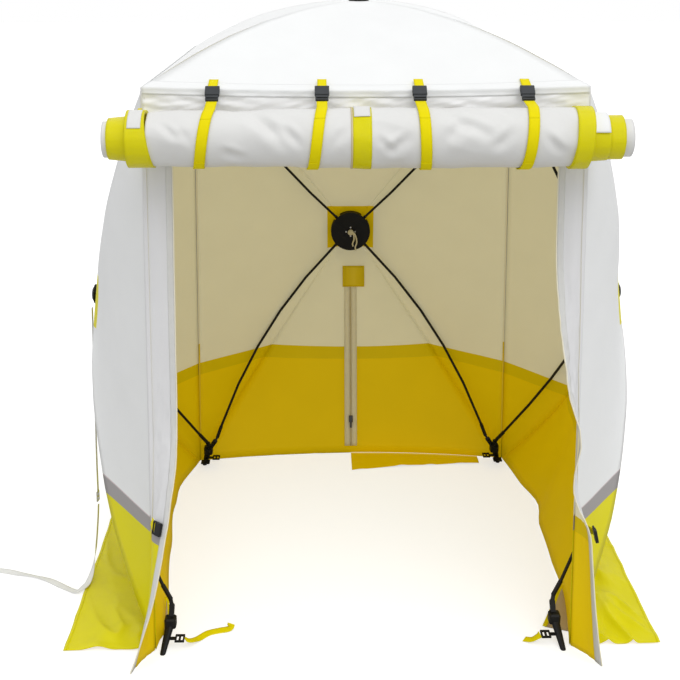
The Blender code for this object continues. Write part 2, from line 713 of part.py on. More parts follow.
def make_roll():
    """The door, rolled up. Its inner turns have slid out as steps at both ends."""
    profile = [(ROLL_LEFT[0][0], 0.0)]
    for (x, radius), (turn_end, outer) in zip(ROLL_LEFT, ROLL_LEFT[1:] + ((0, 0),)):
        profile += [(x, radius - ROLL_ROUND), (x + ROLL_ROUND, radius)]
        if turn_end:
            profile.append((turn_end, radius + ROLL_ROUND / 2))
    profile.append((0.0, ROLL_RADIUS))
    inner = [radius for x, radius in ROLL_RIGHT[1:]]
    for (x, radius), following in zip(ROLL_RIGHT, inner + [0.0]):
        profile += [(x - ROLL_ROUND, radius), (x, radius - ROLL_ROUND), (x, following)]
    mesh = bpy.data.meshes.new("roll_profile")
    mesh.from_pydata([(x, 0, r) for x, r in profile],
                     [(k, k + 1) for k in range(len(profile) - 1)], [])
    roll = place_object("rolled_door", mesh, white_cloth)
    roll.location = roll_centre()
    turn = roll.modifiers.new("turn", "SCREW")
    turn.axis = "X"
    turn.steps = 18
    turn.render_steps = 18
    turn.use_merge_vertices = True
    turn.merge_threshold = 0.0001
    turn.use_normal_calculate = True
    return roll


def buckle_frame(x):
    """The door buckle's frame: X across, Y square to the strap, Z down along it."""
    top = CENTRE + Vector((x, -EAVE_WIDTH / 2 - 0.012, EAVE_HEIGHT + 0.004))
    down = Vector((0, -math.cos(BUCKLE_SLOPE), -math.sin(BUCKLE_SLOPE)))
    across = Vector((1, 0, 0))
    return axes_matrix(top + down * BUCKLE_START, across, down.cross(across))


def make_socket(number, x):
    """The half of a door buckle that stays on the eave, open at its lower end and its sides."""
    frame = buckle_frame(x)
    body = block(frame @ Matrix.Translation((0, 0, SOCKET_LENGTH / 2)),
                 (SOCKET_WIDTH, SOCKET_DEPTH, SOCKET_LENGTH), 0.0015)
    bar = SOCKET_LENGTH - PRONG_LENGTH - 0.002
    hollow = block(frame @ Matrix.Translation((0, 0, SOCKET_LENGTH / 2 + bar)),
                   (SOCKET_WIDTH - 2 * SOCKET_WALL, SOCKET_DEPTH - 2 * SOCKET_WALL, SOCKET_LENGTH))
    window = block(frame @ Matrix.Translation((0, 0, SOCKET_LENGTH * 0.60)),
                   (SOCKET_WIDTH * 1.5, SOCKET_DEPTH - 2 * SOCKET_WALL, SOCKET_LENGTH * 0.34))
    mesh = combine(body, [hollow, window], "DIFFERENCE")
    return place_object(f"strap_socket_{number}", mesh, black_plastic, frame.translation)


def make_plug(number, x):
    """The half of a door buckle that pulls out: a base with a middle tongue and two side prongs."""
    frame = buckle_frame(x)
    depth = SOCKET_DEPTH - 2 * SOCKET_WALL - 2 * PLUG_CLEARANCE
    start = SOCKET_LENGTH + GAP
    body = block(frame @ Matrix.Translation((0, 0, start + PLUG_BASE / 2)),
                 (SOCKET_WIDTH - 0.004, SOCKET_DEPTH - 0.002, PLUG_BASE), 0.0015)
    inside = SOCKET_WIDTH / 2 - SOCKET_WALL - PLUG_CLEARANCE - PRONG_WIDTH / 2
    prongs = []
    for shift in (-inside, 0, inside):
        centre = Matrix.Translation((shift, 0, start - PRONG_LENGTH / 2 + 0.002))
        prongs.append(block(frame @ centre, (PRONG_WIDTH, depth, PRONG_LENGTH)))
    slot = block(frame @ Matrix.Translation((0, 0, start + PLUG_BASE * 0.62)),
                 (STRAP_WIDTH + 0.001, SOCKET_DEPTH * 2, PLUG_SLOT))
    mesh = combine(combine(body, prongs), [slot], "DIFFERENCE")
    return place_object(f"strap_plug_{number}", mesh, black_plastic,
                        frame @ Vector((0, 0, start)))


def make_door_strap(number, top_x, bottom_x):
    """A webbing strap from its plug over the roll, down the front and up behind to the valance."""
    frame = buckle_frame(top_x)
    plug_end = frame @ Vector((0, 0, SOCKET_LENGTH + GAP + PLUG_BASE + GAP + STRAP))
    centre = roll_centre()
    start_height = plug_end.z - centre.z
    start_depth = plug_end.y - centre.y
    away = math.hypot(start_height, start_depth)
    clear = roll_radius(top_x) + STRAP_CLEARANCE
    first = math.atan2(start_height, start_depth) + math.acos(clear / away)
    last = math.radians(354)
    path = [Vector((top_x, plug_end.y, plug_end.z))]
    for k in range(2 * STRAP_ROWS + 1):
        share = k / (2 * STRAP_ROWS)
        angle = first + (last - first) * share
        x = top_x + (bottom_x - top_x) * min(1.0, share * 1.6)
        radius = roll_radius(x) + STRAP_CLEARANCE
        path.append(Vector((x, centre.y + radius * math.cos(angle),
                            centre.z + radius * math.sin(angle))))
    end_y = -EAVE_WIDTH / 2 - 0.012
    path.append(Vector((bottom_x, CENTRE.y + end_y, valance_bottom(bottom_x) - 0.001)))
    half = Vector((STRAP_WIDTH / 2, 0, 0))
    return sheet(f"door_strap_{number}", 1, STRAP_ROWS,
                 lambda w, s: along(path, s) + half * (1 - 2 * w), STRAP, yellow_webbing)


def make_door_fastenings():
    for number, (top_x, bottom_x) in enumerate(STRAP_PLACES, 1):
        make_socket(number, top_x)
        make_plug(number, top_x)
        make_door_strap(number, top_x, bottom_x)


def zip_line(face):
    """The back zip's straight line: its foot, its head, its direction and the way out."""
    low = panel_point(face, 0, 0.5, ZIP_BOTTOM / WALL_HUB_HEIGHT)
    high = panel_point(face, 0, 0.5, 1 - ZIP_BELOW_HUB / WALL_HUB_HEIGHT)
    way = (high - low).normalized()
    return low, high, way, face.right.cross(way)


def make_zip(face):
    """The zip inside the back wall: two tapes with teeth between them, and the slider."""
    low, high, way, out = zip_line(face)
    length = (high - low).length
    behind = ZIP_CLEARANCE + ZIP_TAPE / 2
    middle = low + way * length / 2 - out * behind
    frame = axes_matrix(middle, face.right, way)
    tapes = block(frame, (ZIP_WIDTH, length, ZIP_TAPE))
    teeth = block(frame @ Matrix.Translation((0, 0, -ZIP_TAPE / 2)),
                  (ZIP_TEETH, length - 0.004, ZIP_TAPE + 0.0006))
    place_object("back_zip_tapes", combine(tapes, [teeth]), zip_tape, middle)
    centre = low + way * (SLIDER_HEIGHT - ZIP_BOTTOM)
    centre -= out * (ZIP_CLEARANCE + 1.5 * ZIP_TAPE + 0.0006 + GAP + SLIDER_SIZE[1] / 2)
    frame = axes_matrix(centre, face.right, way)
    body = block(frame, (SLIDER_SIZE[0], SLIDER_SIZE[2], SLIDER_SIZE[1]), 0.002)
    tab = block(frame @ Matrix.Translation((0, -SLIDER_SIZE[2] * 0.8, -0.001)),
                (0.009, SLIDER_SIZE[2], 0.003), 0.001)
    place_object("back_zip_slider", combine(body, [tab]), dark_metal, centre)


def make_threshold_strap(name, corner_x, tail):
    """Webbing from a front foot's ladder lock, its tail lying on the floor."""
    base = foot_point(corner_x, -1, LADDER_HEIGHT)
    base.z = 0
    route = smooth_route([base + Vector(point) for point in tail])

    def place(across, share):
        here = along(route, share)
        ahead = along(route, min(1.0, share + 0.02)) - along(route, max(0.0, share - 0.02))
        side = Vector((ahead.y, -ahead.x, 0)).normalized()
        return here + side * THRESHOLD_WIDTH * (0.5 - across)
    return sheet(name, 1, 3 * len(tail), place, STRAP, yellow_webbing, base)


def flat_tape(name, points, facing, last_facing, material):
    """Guy webbing along points. Its face turns from one side to another half-way along."""
    route = smooth_route(points)

    def place(across, share):
        here = along(route, share)
        ahead = along(route, min(1.0, share + 0.02)) - along(route, max(0.0, share - 0.02))
        turned = max(0.0, min(1.0, (share - TWIST_START) / (TWIST_END - TWIST_START)))
        side = Vector(facing).lerp(Vector(last_facing), turned).cross(ahead).normalized()
        return here + side * GUY_WEBBING_WIDTH * (across - 0.5)
    sheet(name, 1, 3 * len(points), place, STRAP, material, route[0])
    return route


def make_guy_line():
    """The guy line: webbing from the left hub to a metal buckle, a second length from there to
    the ground, and a cord tied to its end, which lies in a coil."""
    outward, upward = (-1, 0, 0), (0, 0, 1)
    flat_tape("guy_webbing", [CENTRE + Vector(point) for point in GUY_WEBBING], outward, outward,
              guy_white)
    end = CENTRE + Vector(GUY_WEBBING[-1])
    start = CENTRE + Vector(GUY_ROUTE[0])
    way = (start - end).normalized()
    across = Vector(outward).cross(way).normalized()
    middle = end + way * (GUY_BUCKLE_SIZE[1] / 2 + 2 * GAP)
    frame = axes_matrix(middle, across, way)
    body = block(frame, GUY_BUCKLE_SIZE, 0.001)
    cuts = []
    for shift in (-1, 1):
        cuts.append(block(frame @ Matrix.Translation((0, shift * GUY_BUCKLE_SIZE[1] * 0.21, 0)),
                          (GUY_WEBBING_WIDTH + 0.003, 0.009, GUY_BUCKLE_SIZE[2] * 3)))
    place_object("guy_buckle", combine(body, cuts, "DIFFERENCE"), steel, middle)
    first = middle + way * (GUY_BUCKLE_SIZE[1] / 2 + STRAP_END_GAP)
    points = [first] + [CENTRE + Vector(point) for point in GUY_ROUTE[1:]]
    route = flat_tape("guy_lower_strap", points, outward, upward, guy_white)
    make_coil(route[-1], (route[-1] - route[-2]).normalized())


def make_coil(start, way):
    """The cord's spare length: turns that spiral in, climb a layer, and spiral out to a knot."""
    outer = COIL_INNER + COIL_PITCH * COIL_TURNS
    side = Vector((0, 0, 1)).cross(way).normalized()
    lead = start + way * (GAP + COIL_LEAD)
    centre = lead + side * outer
    points = [start + way * (GAP + COIL_LEAD * k / 3) for k in range(3)]
    total = COIL_TURNS * COIL_POINTS
    climb = COIL_POINTS // 2

    def spot(turned, radius, height):
        angle = math.tau * turned
        return (centre - side * radius * math.cos(angle) + way * radius * math.sin(angle)
                + Vector((0, 0, height)))
    for k in range(total + 1):
        points.append(spot(k / COIL_POINTS, outer - COIL_PITCH * k / COIL_POINTS, 0.0))
    for k in range(1, climb):
        lift = COIL_PITCH * (0.5 - 0.5 * math.cos(math.pi * k / climb))
        points.append(spot(COIL_TURNS + k / COIL_POINTS, COIL_INNER, lift))
    for k in range(total + 1):
        turned = COIL_TURNS + 0.5 + k / COIL_POINTS
        points.append(spot(turned, COIL_INNER + COIL_PITCH * k / COIL_POINTS, COIL_PITCH))
    tail = points[-1] + (points[-1] - points[-2]).normalized() * GUY_CORD
    points.append(tail)
    gap = min((a - b).length for i, a in enumerate(points)
              for b in points[i + COIL_POINTS // 2:]) - GUY_CORD
    print("The coil's least gap to itself is", round(gap * 1000, 2), "mm")
    winding = thin_tube(points, GUY_CORD / 2)
    knot = make_mesh(lambda bm: bmesh.ops.create_uvsphere(
        bm, u_segments=8, v_segments=6, radius=KNOT,
        matrix=Matrix.Translation(tail + Vector((0, 0, KNOT - GUY_CORD / 2)))))
    place_object("guy_coil", combine(winding, [knot]), guy_white, centre)


def build_tent():
    back = wall_face("back_wall", 0.0, ("bottom", "left", "top", "right"),
                     ("bottom_right", "bottom_left", "top_left", "top_right"))
    left = wall_face("left_wall", math.pi / 2, ("bottom", "front", "top", "back"),
                     ("bottom_back", "bottom_front", "top_front", "top_back"))
    right = wall_face("right_wall", -math.pi / 2, ("bottom", "back", "top", "front"),
                      ("bottom_front", "bottom_back", "top_back", "top_front"))
    faces = [back, left, right, roof_face()]
    for face in faces:
        make_panel(face)
        make_hub(face)
        for corner in range(4):
            make_rod(face, corner)
    for y_name, y_sign in (("front", -1), ("back", 1)):
        for x_name, x_sign in (("left", -1), ("right", 1)):
            make_corner(f"top_corner_{y_name}_{x_name}", x_sign, y_sign, True, faces)
            make_corner(f"foot_{y_name}_{x_name}", x_sign, y_sign, False, faces)
    make_pull_cord(back)
    make_skirts()
    make_jamb("front_jamb_left", -1, LEFT_TURNS)
    make_jamb("front_jamb_right", 1, RIGHT_TURNS)
    make_valance()
    make_roll()
    make_door_fastenings()
    make_zip(back)
    make_threshold_strap("threshold_strap_left", -1, LEFT_TAIL)
    make_threshold_strap("threshold_strap_right", 1, RIGHT_TAIL)
    make_guy_line()


clear_scene()
parts = bpy.data.collections.new("work_tent")
cutters = bpy.data.collections.new("cutters")
for group in (parts, cutters):
    bpy.context.scene.collection.children.link(group)

white_cloth = make_material("white_cloth", (0.86, 0.87, 0.86), 0.55)
yellow_cloth = make_material("yellow_cloth", (0.72, 0.66, 0.01), 0.40)
black_plastic = make_material("black_plastic", (0.015, 0.015, 0.016), 0.45)
black_rod = make_material("black_rod", (0.012, 0.012, 0.013), 0.35)
steel = make_material("steel", (0.55, 0.55, 0.56), 0.3, 1.0)
yellow_webbing = make_material("yellow_webbing", (0.74, 0.60, 0.01), 0.75)
strap_black = make_material("strap_black", (0.02, 0.02, 0.02), 0.8)
zip_tape = make_material("zip_tape", (0.48, 0.43, 0.30), 0.8)
dark_metal = make_material("dark_metal", (0.10, 0.10, 0.10), 0.35, 0.8)
cord_white = make_material("cord_white", (0.80, 0.77, 0.68), 0.8)
guy_white = make_material("guy_white", (0.82, 0.82, 0.80), 0.8)
build_tent()
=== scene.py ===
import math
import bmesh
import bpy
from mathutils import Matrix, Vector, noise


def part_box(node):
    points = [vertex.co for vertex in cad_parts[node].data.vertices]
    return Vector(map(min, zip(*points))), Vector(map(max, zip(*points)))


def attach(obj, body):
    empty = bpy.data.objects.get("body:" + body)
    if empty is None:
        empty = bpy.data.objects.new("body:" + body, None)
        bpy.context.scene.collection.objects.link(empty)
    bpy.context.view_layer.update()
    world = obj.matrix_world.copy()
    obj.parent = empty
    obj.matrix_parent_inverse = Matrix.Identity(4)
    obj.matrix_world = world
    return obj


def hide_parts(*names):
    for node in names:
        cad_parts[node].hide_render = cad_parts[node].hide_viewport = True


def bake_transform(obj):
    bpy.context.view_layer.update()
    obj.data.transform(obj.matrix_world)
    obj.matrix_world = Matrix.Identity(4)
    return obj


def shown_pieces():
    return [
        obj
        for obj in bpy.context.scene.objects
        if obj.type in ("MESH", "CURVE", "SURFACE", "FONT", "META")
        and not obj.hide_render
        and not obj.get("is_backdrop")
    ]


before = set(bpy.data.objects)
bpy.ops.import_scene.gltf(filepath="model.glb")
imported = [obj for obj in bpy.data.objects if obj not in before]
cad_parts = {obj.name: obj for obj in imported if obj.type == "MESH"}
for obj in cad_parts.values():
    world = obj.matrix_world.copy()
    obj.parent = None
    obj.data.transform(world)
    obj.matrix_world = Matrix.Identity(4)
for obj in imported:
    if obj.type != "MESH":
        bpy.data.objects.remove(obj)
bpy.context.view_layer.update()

# %% [markdown]
# # A pop-up work tent
# The hard frame, its hubs, rods, corners and buckles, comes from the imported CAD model. This
# lesson dresses it: cloth walls that are white above and yellow below, a rolled-up door, straps,
# skirts on the ground and a guy line. Every size is in metres, and a piece is built where it
# belongs, so nothing is moved into place afterwards.

low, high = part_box("roof_hub")
MIDDLE = Vector((0, (low.y + high.y) / 2, 0))
EAVE_WIDTH = 1.24
BASE_WIDTH = 1.31
EAVE_HEIGHT = 1.775
ROOF_RISE = 0.205
WALL_BULGE = 0.28
WALL_HUB_HEIGHT = 0.967
BASE_BOW = 0.065
ROOF_CROWN = 0.05
WALL_HIGH_CROWN = 0.030
WALL_LOW_CROWN = 0.080
SEAM_GAP = 0.0006
FLOOR_GAP = 0.0034
FRAME_INSET = 0.042
CLOTH = 0.0012
CLOTH_STAND = 0.0018
WEBBING = 0.0016
BINDING = 0.0009
HALF_BASE = BASE_WIDTH / 2
HALF_EAVE = EAVE_WIDTH / 2
UP = Vector((0, 0, 1))
print("The tent's middle stands at y =", round(MIDDLE.y, 4), "m")

# %% [markdown]
# ## Camera
# The picture was taken from above head height, looking down a little, so the camera is pitched
# down and its lens is shifted, which keeps upright edges upright.

# %% Camera
camera_data = bpy.data.cameras.new("view")
camera_data.sensor_width = 36.0
camera_data.lens = 57.12
camera_data.shift_y = -0.147
camera = bpy.data.objects.new("view", camera_data)
camera.location = MIDDLE + Vector((-0.1314, -3.628, 2.139))
camera.rotation_euler = (math.radians(90 - 15), 0, math.radians(-1.1))
bpy.context.scene.collection.objects.link(camera)
bpy.context.scene.camera = camera
print("The camera's lens is", camera_data.lens, "mm")

# %% [markdown]
# ## Pieces and their looks
# Most pieces ride on a body of the frame. A look is a material with short ways to add nodes.
# Coated cloth has a soft shine, a fine weave and broad crinkles, which show at different
# distances, so its bump adds a weave of two crossed waves to a noise. All of them read the UV map
# in metres, so they keep their real scale.

# %% A piece, and what it rides on
def add_object(name, bm, materials):
    """A piece from a finished bmesh, with its materials, at the origin."""
    mesh = bpy.data.meshes.new(name)
    bm.to_mesh(mesh)
    bm.free()
    for material in materials:
        mesh.materials.append(material)
    piece = bpy.data.objects.new(name, mesh)
    bpy.context.scene.collection.objects.link(piece)
    return piece


def fasten(slot_name, *pieces, body="tent"):
    """Pieces ride on a body; slot_name is not used. It gives the first of them back."""
    for piece in pieces:
        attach(piece, body)
    return pieces[0]


# %% Looks
WAVE_PERIOD = 0.314     # metres from one wave to the next when a wave's scale is 1
THREADS = 420.0         # a thread every 0.75 mm


class Look:
    """A material, with short ways to add nodes to it. sheen is how strongly it reflects at its
    face, 0.5 for most plastics, and space says where its patterns are laid."""

    def __init__(self, name, colour, roughness, metallic=0.0, sheen=0.5, space="UV"):
        self.material = bpy.data.materials.new(name)
        self.material.use_nodes = True
        self.shader = self.material.node_tree.nodes["Principled BSDF"].inputs
        for key, value in (("Specular IOR Level", sheen), ("Base Color", colour),
                           ("Roughness", roughness), ("Metallic", metallic)):
            self.feed(self.shader[key], value)
        self.where = self.node("ShaderNodeTexCoord").outputs[space]

    def feed(self, socket, value):
        """Gives a socket a node's output, a colour or a number."""
        if hasattr(value, "is_linked"):
            self.material.node_tree.links.new(value, socket)
        elif isinstance(value, tuple):
            socket.default_value = (*value, 1)[:len(socket.default_value)]
        else:
            socket.default_value = value

    def node(self, kind, inputs=None, **settings):
        made = self.material.node_tree.nodes.new(kind)
        for key, value in settings.items():
            setattr(made, key, value)
        for key, value in (inputs or {}).items():
            self.feed(made.inputs[key], value)
        return made

    def math(self, operation, first, second):
        return self.node("ShaderNodeMath", {0: first, 1: second}, operation=operation).outputs[0]

    def noise(self, scale, detail=3.0):
        return self.node("ShaderNodeTexNoise", {"Scale": scale, "Detail": detail,
                                                "Vector": self.where}).outputs["Fac"]

    def wave(self, scale, direction):
        return self.node("ShaderNodeTexWave", {"Scale": scale, "Vector": self.where},
                         bands_direction=direction).outputs["Fac"]

    def bump(self, height, strength, distance):
        made = self.node("ShaderNodeBump", {"Strength": strength, "Distance": distance,
                                            "Height": height})
        self.feed(self.shader["Normal"], made.outputs["Normal"])

    def mix(self, factor, first, second):
        return self.node("ShaderNodeMix", {0: factor, 6: first, 7: second},
                         data_type="RGBA").outputs[2]

    def paint(self, colour, share=0.06, scale=7.0):
        """Paints the colour, a little darker in soft spots, and gives the painted colour."""
        shade = self.node("ShaderNodeMapRange", {"To Min": 1 - share, "To Max": 1.0,
                                                 "Value": self.noise(scale)}).outputs[0]
        painted = self.node("ShaderNodeVectorMath", {0: colour, "Scale": shade},
                            operation="SCALE").outputs[0]
        self.feed(self.shader["Base Color"], painted)
        return painted

    def glow(self, colour, strength):
        """Light of its own, as from the daylight that comes through thin cloth."""
        self.feed(self.shader["Emission Color"], colour)
        self.feed(self.shader["Emission Strength"], strength)

    def weave(self, crinkle=14.0, depth=0.0016):
        """Bump for coated cloth: broad crinkles with a fine weave on them."""
        threads = self.math("ADD", self.wave(THREADS, "X"), self.wave(THREADS, "Y"))
        fine = self.math("MULTIPLY", threads, 0.03)
        self.bump(self.math("ADD", self.noise(crinkle, 4.0), fine), 0.6, depth)

    def flat_place(self):
        """The two coordinates of the flat cloth, across it and up it."""
        return self.node("ShaderNodeSeparateXYZ", {0: self.where}).outputs[:2]

    def bands(self, colours, heights):
        """Colour that changes at the given heights up the cloth."""
        up = self.flat_place()[1]
        colour = colours[0]
        for next_colour, height in zip(colours[1:], heights):
            colour = self.mix(self.math("GREATER_THAN", up, height), colour, next_colour)
        return colour

    def hub_patch(self, below, above):
        """1 on the patch round a wall's hub, 0 off it."""
        across, up = self.flat_place()
        within = [self.math("MULTIPLY", self.math("GREATER_THAN", value, least),
                            self.math("LESS_THAN", value, most))
                  for value, least, most in ((across, -PATCH_HALF, PATCH_HALF),
                                             (up, WALL_HUB_HEIGHT - below,
                                              WALL_HUB_HEIGHT + above))]
        return self.math("MULTIPLY", *within)


# %% [markdown]
# ## Floor and light
# The floor is a plain pale plane. It adds a little light of its own only where the camera looks
# straight at it, which makes the background white and still lets the tent's shadow fall on it.
# The sky is white to the camera and a little dimmer as a lamp.

# %% Floor, sky and lamps
FLOOR_GREY = (0.56, 0.56, 0.56)
FLOOR_LIFT = 0.63
SKY_ON_TENT = 0.76
SUN_ENERGY = 1.35

bpy.context.scene.view_settings.view_transform = "Standard"
bm = bmesh.new()
bmesh.ops.create_grid(bm, x_segments=1, y_segments=1, size=30)
floor_look = Look("floor_paint", FLOOR_GREY, 0.9, sheen=0.1)
camera_ray = floor_look.node("ShaderNodeLightPath").outputs["Is Camera Ray"]
floor_look.glow((1, 1, 1), floor_look.math("MULTIPLY", camera_ray, FLOOR_LIFT))
add_object("floor", bm, [floor_look.material])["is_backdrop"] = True

world = bpy.data.worlds.new("sky")
bpy.context.scene.world = world
world.use_nodes = True
sky = world.node_tree
sky_light = sky.nodes["Background"].inputs
sky_light["Color"].default_value = (1, 1, 1, 1)
sky_path = sky.nodes.new("ShaderNodeLightPath").outputs
sky_seen = sky.nodes.new("ShaderNodeMath")
sky_seen.operation = "MAXIMUM"
sky_strength = sky.nodes.new("ShaderNodeMapRange")
sky_strength.inputs["To Min"].default_value = SKY_ON_TENT
sky_strength.inputs["To Max"].default_value = 1.0
for output, socket in ((sky_path["Is Camera Ray"], sky_seen.inputs[0]),
                       (sky_path["Is Glossy Ray"], sky_seen.inputs[1]),
                       (sky_seen.outputs[0], sky_strength.inputs["Value"]),
                       (sky_strength.outputs["Result"], sky_light["Strength"])):
    sky.links.new(output, socket)

sun_data = bpy.data.lights.new("soft_sun", "SUN")
sun_data.energy = SUN_ENERGY
sun_data.angle = math.radians(50)
sun = bpy.data.objects.new("soft_sun", sun_data)
sun.rotation_euler = (math.radians(26), math.radians(12), 0)
bpy.context.scene.collection.objects.link(sun)
print("The sky gives the tent", SKY_ON_TENT, "and the sun", SUN_ENERGY)

# %% [markdown]
# ## Helpers for cloth
# A sheet of cloth is a flat grid whose points are then laid on the shape that the cloth takes.
# Each point keeps its flat place, in metres, in a UV map, so a weave or a printed band follows
# the cloth wherever it bends. A Solidify modifier gives the sheet its thickness, and the
# inner face takes the second material, because the cloth is a different colour inside.


# %% A sheet of cloth
def cloth(name, columns, rows, place, metres, materials, thick=CLOTH):
    """A sheet laid by place(across, along), both from 0 to 1. Its outer face is the one seen
    with across to the right and along upwards, and the thickness is on the other side. metres
    is its flat size, or gives a flat place."""
    flat_place = metres
    if isinstance(metres, tuple):
        def flat_place(across, along):
            return across * metres[0], along * metres[1]
    bm = bmesh.new()
    weave = bm.loops.layers.uv.new("weave")
    bmesh.ops.create_grid(bm, x_segments=columns, y_segments=rows, size=0.5)
    flat = {vertex: (vertex.co.x + 0.5, vertex.co.y + 0.5) for vertex in bm.verts}
    for face in bm.faces:
        face.smooth = True
        for loop in face.loops:
            loop[weave].uv = flat_place(*flat[loop.vert])
    for vertex, (across, along) in flat.items():
        vertex.co = place(across, along)
    piece = add_object(name, bm, materials)
    body = piece.modifiers.new("thickness", "SOLIDIFY")
    body.thickness = thick
    body.offset = -1.0
    if len(materials) > 1:
        body.material_offset = 1
    return piece


# %% Routes and webbing
def smooth_route(points, steps=6):
    """Points on a smooth curve through the given ones."""
    ends = [points[0] * 2 - points[1]] + list(points) + [points[-1] * 2 - points[-2]]
    route = []
    for a, b, c, d in zip(ends, ends[1:], ends[2:], ends[3:]):
        for step in range(steps):
            t = step / steps
            route.append(((b * 2) + (c - a) * t + (a * 2 - b * 5 + c * 4 - d) * t * t
                          + (b * 3 - a - c * 3 + d) * t ** 3) / 2)
    route.append(points[-1].copy())
    return route


def clamp(value):
    return max(0.0, min(1.0, value))


def route_length(route):
    return sum((b - a).length for a, b in zip(route, route[1:]))


def along_route(route, share):
    """A point at a share of the way along a route."""
    rest = share * route_length(route)
    for start, end in zip(route, route[1:]):
        length = (end - start).length
        if rest <= length and length > 0:
            return start.lerp(end, rest / length)
        rest -= length
    return route[-1].copy()


def webbing(name, route, width, facing, material, rows, twist=None):
    """A flat strap along a route. facing(share) is the side that its outer face turns to."""
    def place(across, share):
        here = along_route(route, share)
        ahead = along_route(route, min(1.0, share + 0.015))
        ahead = ahead - along_route(route, max(0.0, share - 0.015))
        side = ahead.cross(facing(share)).normalized()
        if twist:
            side = Matrix.Rotation(twist(share), 3, ahead.normalized()) @ side
        return here + side * width * (across - 0.5)
    return cloth(name, 4, rows, place, (width, route_length(route)), [material], WEBBING)


def ripple(x, y, seed, scale=4.0):
    """A smooth random height between about -1 and 1, the same on every run."""
    return noise.noise(Vector((x * scale, y * scale, seed)))


# %% [markdown]
# ## The walls' two colours
# Outside, each wall is white above and lemon yellow below, with a grey reflective tape on the
# seam. Inside, the daylight that comes through the cloth is painted into its colours: the white as
# a warm beige, the yellow as gold, and the tape's shadow as a darker band. The bands sit at fixed
# heights of the UV map.

# %% Wall colours
WHITE = (0.85, 0.86, 0.86)
# Painted shade: the front strips and the corner bindings take this darker copy of the wall's
# white.
STRIP_SHADED_WHITE = (0.76, 0.76, 0.77)
LEMON = (0.77, 0.70, 0.003)
TAPE_GREY = (0.36, 0.34, 0.34)
TAPE_EDGE = (0.66, 0.57, 0.58)
# Painted light: BEIGE, GOLD and PATCH_GOLD are the white, the yellow and the hub's patch as the
# daylight through the cloth shows them from inside.
BEIGE = (0.775, 0.735, 0.535)
GOLD = (0.77, 0.545, 0.0)
# Painted shadow: the reflective tape's shadow, seen through the cloth from inside.
TAPE_SHADOW_GOLD = (0.65, 0.48, 0.0)
PATCH_GOLD = (0.70, 0.49, 0.0)
SEAM_SHADE = (0.30, 0.20, 0.10)
# Painted light: the inner faces glow this much, for the daylight that comes through the cloth.
THROUGH = 0.20
PATCH_HALF = 0.10
BAND_LOW = 0.402
BAND_HIGH = 0.455
BAND_EDGE = 0.004


def wall_outside(name, hub_patch, white=WHITE):
    look = Look(name, white, 0.42, sheen=0.14)
    bands = look.bands([LEMON, TAPE_GREY, TAPE_EDGE, white],
                       [BAND_LOW, BAND_HIGH - BAND_EDGE, BAND_HIGH])
    if hub_patch:
        bands = look.mix(look.hub_patch(0.095, 0.095), bands, LEMON)
    look.paint(bands)
    look.weave()
    return look.material


# Painted light and shadow: the inner face's colours are daylight through the cloth, with the
# tape's shadow as a darker band.
def wall_inside(name, hub_patch, shade=1.0):
    look = Look(name, BEIGE, 0.55, sheen=0.15)
    bands = look.bands([GOLD, TAPE_SHADOW_GOLD, BEIGE], [BAND_LOW, BAND_HIGH])
    if hub_patch:
        bands = look.mix(look.hub_patch(0.085, 0.105), bands, PATCH_GOLD)
    if shade < 1.0:
        bands = look.mix(1 - shade, bands, SEAM_SHADE)
    look.glow(look.paint(bands), THROUGH)
    look.weave(9.0, 0.0010)
    return look.material


wall_out = wall_outside("wall_outside", True)
# Painted shade: the strips' white is a darker copy of the wall's white.
strip_out = wall_outside("front_strip_outside", False, STRIP_SHADED_WHITE)
wall_in = wall_inside("wall_inside", True)
strip_in = wall_inside("front_strip_inside", False)
back_wall_in = wall_inside("back_wall_inside", True)
seam_in = wall_inside("seam_inside", False, 0.78)
print("The reflective band lies from", BAND_LOW, "to", BAND_HIGH, "m up the cloth")


# %% Plain cloth and webbing
def plain_cloth(name, colour, roughness, crinkle=12.0, depth=0.0016, sheen=0.3, through=0.0):
    look = Look(name, colour, roughness, sheen=sheen)
    painted = look.paint(colour)
    if through:
        look.glow(painted, through)
    look.weave(crinkle, depth)
    return look.material


white_out = plain_cloth("white_outside", WHITE, 0.42)
# Painted light: the valance takes a brighter copy of the white, as it is lit more than the walls.
valance_lit_white = plain_cloth("valance_lit_white", (0.93, 0.93, 0.93), 0.42)
patch_cloth = plain_cloth("patch_gold", (0.84, 0.62, 0.0), 0.42)
# Painted shade: the rolled door, its spiral ends and two patches take a darker, warmer copy of the
# white, for the shade it lies in.
roll_shaded_white_look = plain_cloth("roll_white", (0.745, 0.745, 0.73), 0.38, 9.0, 0.0036)
# Painted light: the inner faces take the beige and gold of daylight through the cloth, and glow a
# little.
white_in = plain_cloth("white_inside", BEIGE, 0.55, sheen=0.15, through=THROUGH)
yellow_out = plain_cloth("yellow_outside", LEMON, 0.21, 14.0, 0.0085, sheen=0.16)
yellow_in = plain_cloth("yellow_inside", GOLD, 0.40, 16.0, 0.0020, sheen=0.15, through=THROUGH)


def webbing_look(name, colour, ribs=0.0022):
    """Webbing: ribs across it, with a fine twill along it."""
    look = Look(name, colour, 0.72, sheen=0.12)
    look.paint(colour, 0.10, 40)
    twill = look.math("MULTIPLY", look.wave(260, "X"), 0.5)
    look.bump(look.math("ADD", look.wave(WAVE_PERIOD / ribs, "Y"), twill), 0.5, 0.0004)
    return look.material


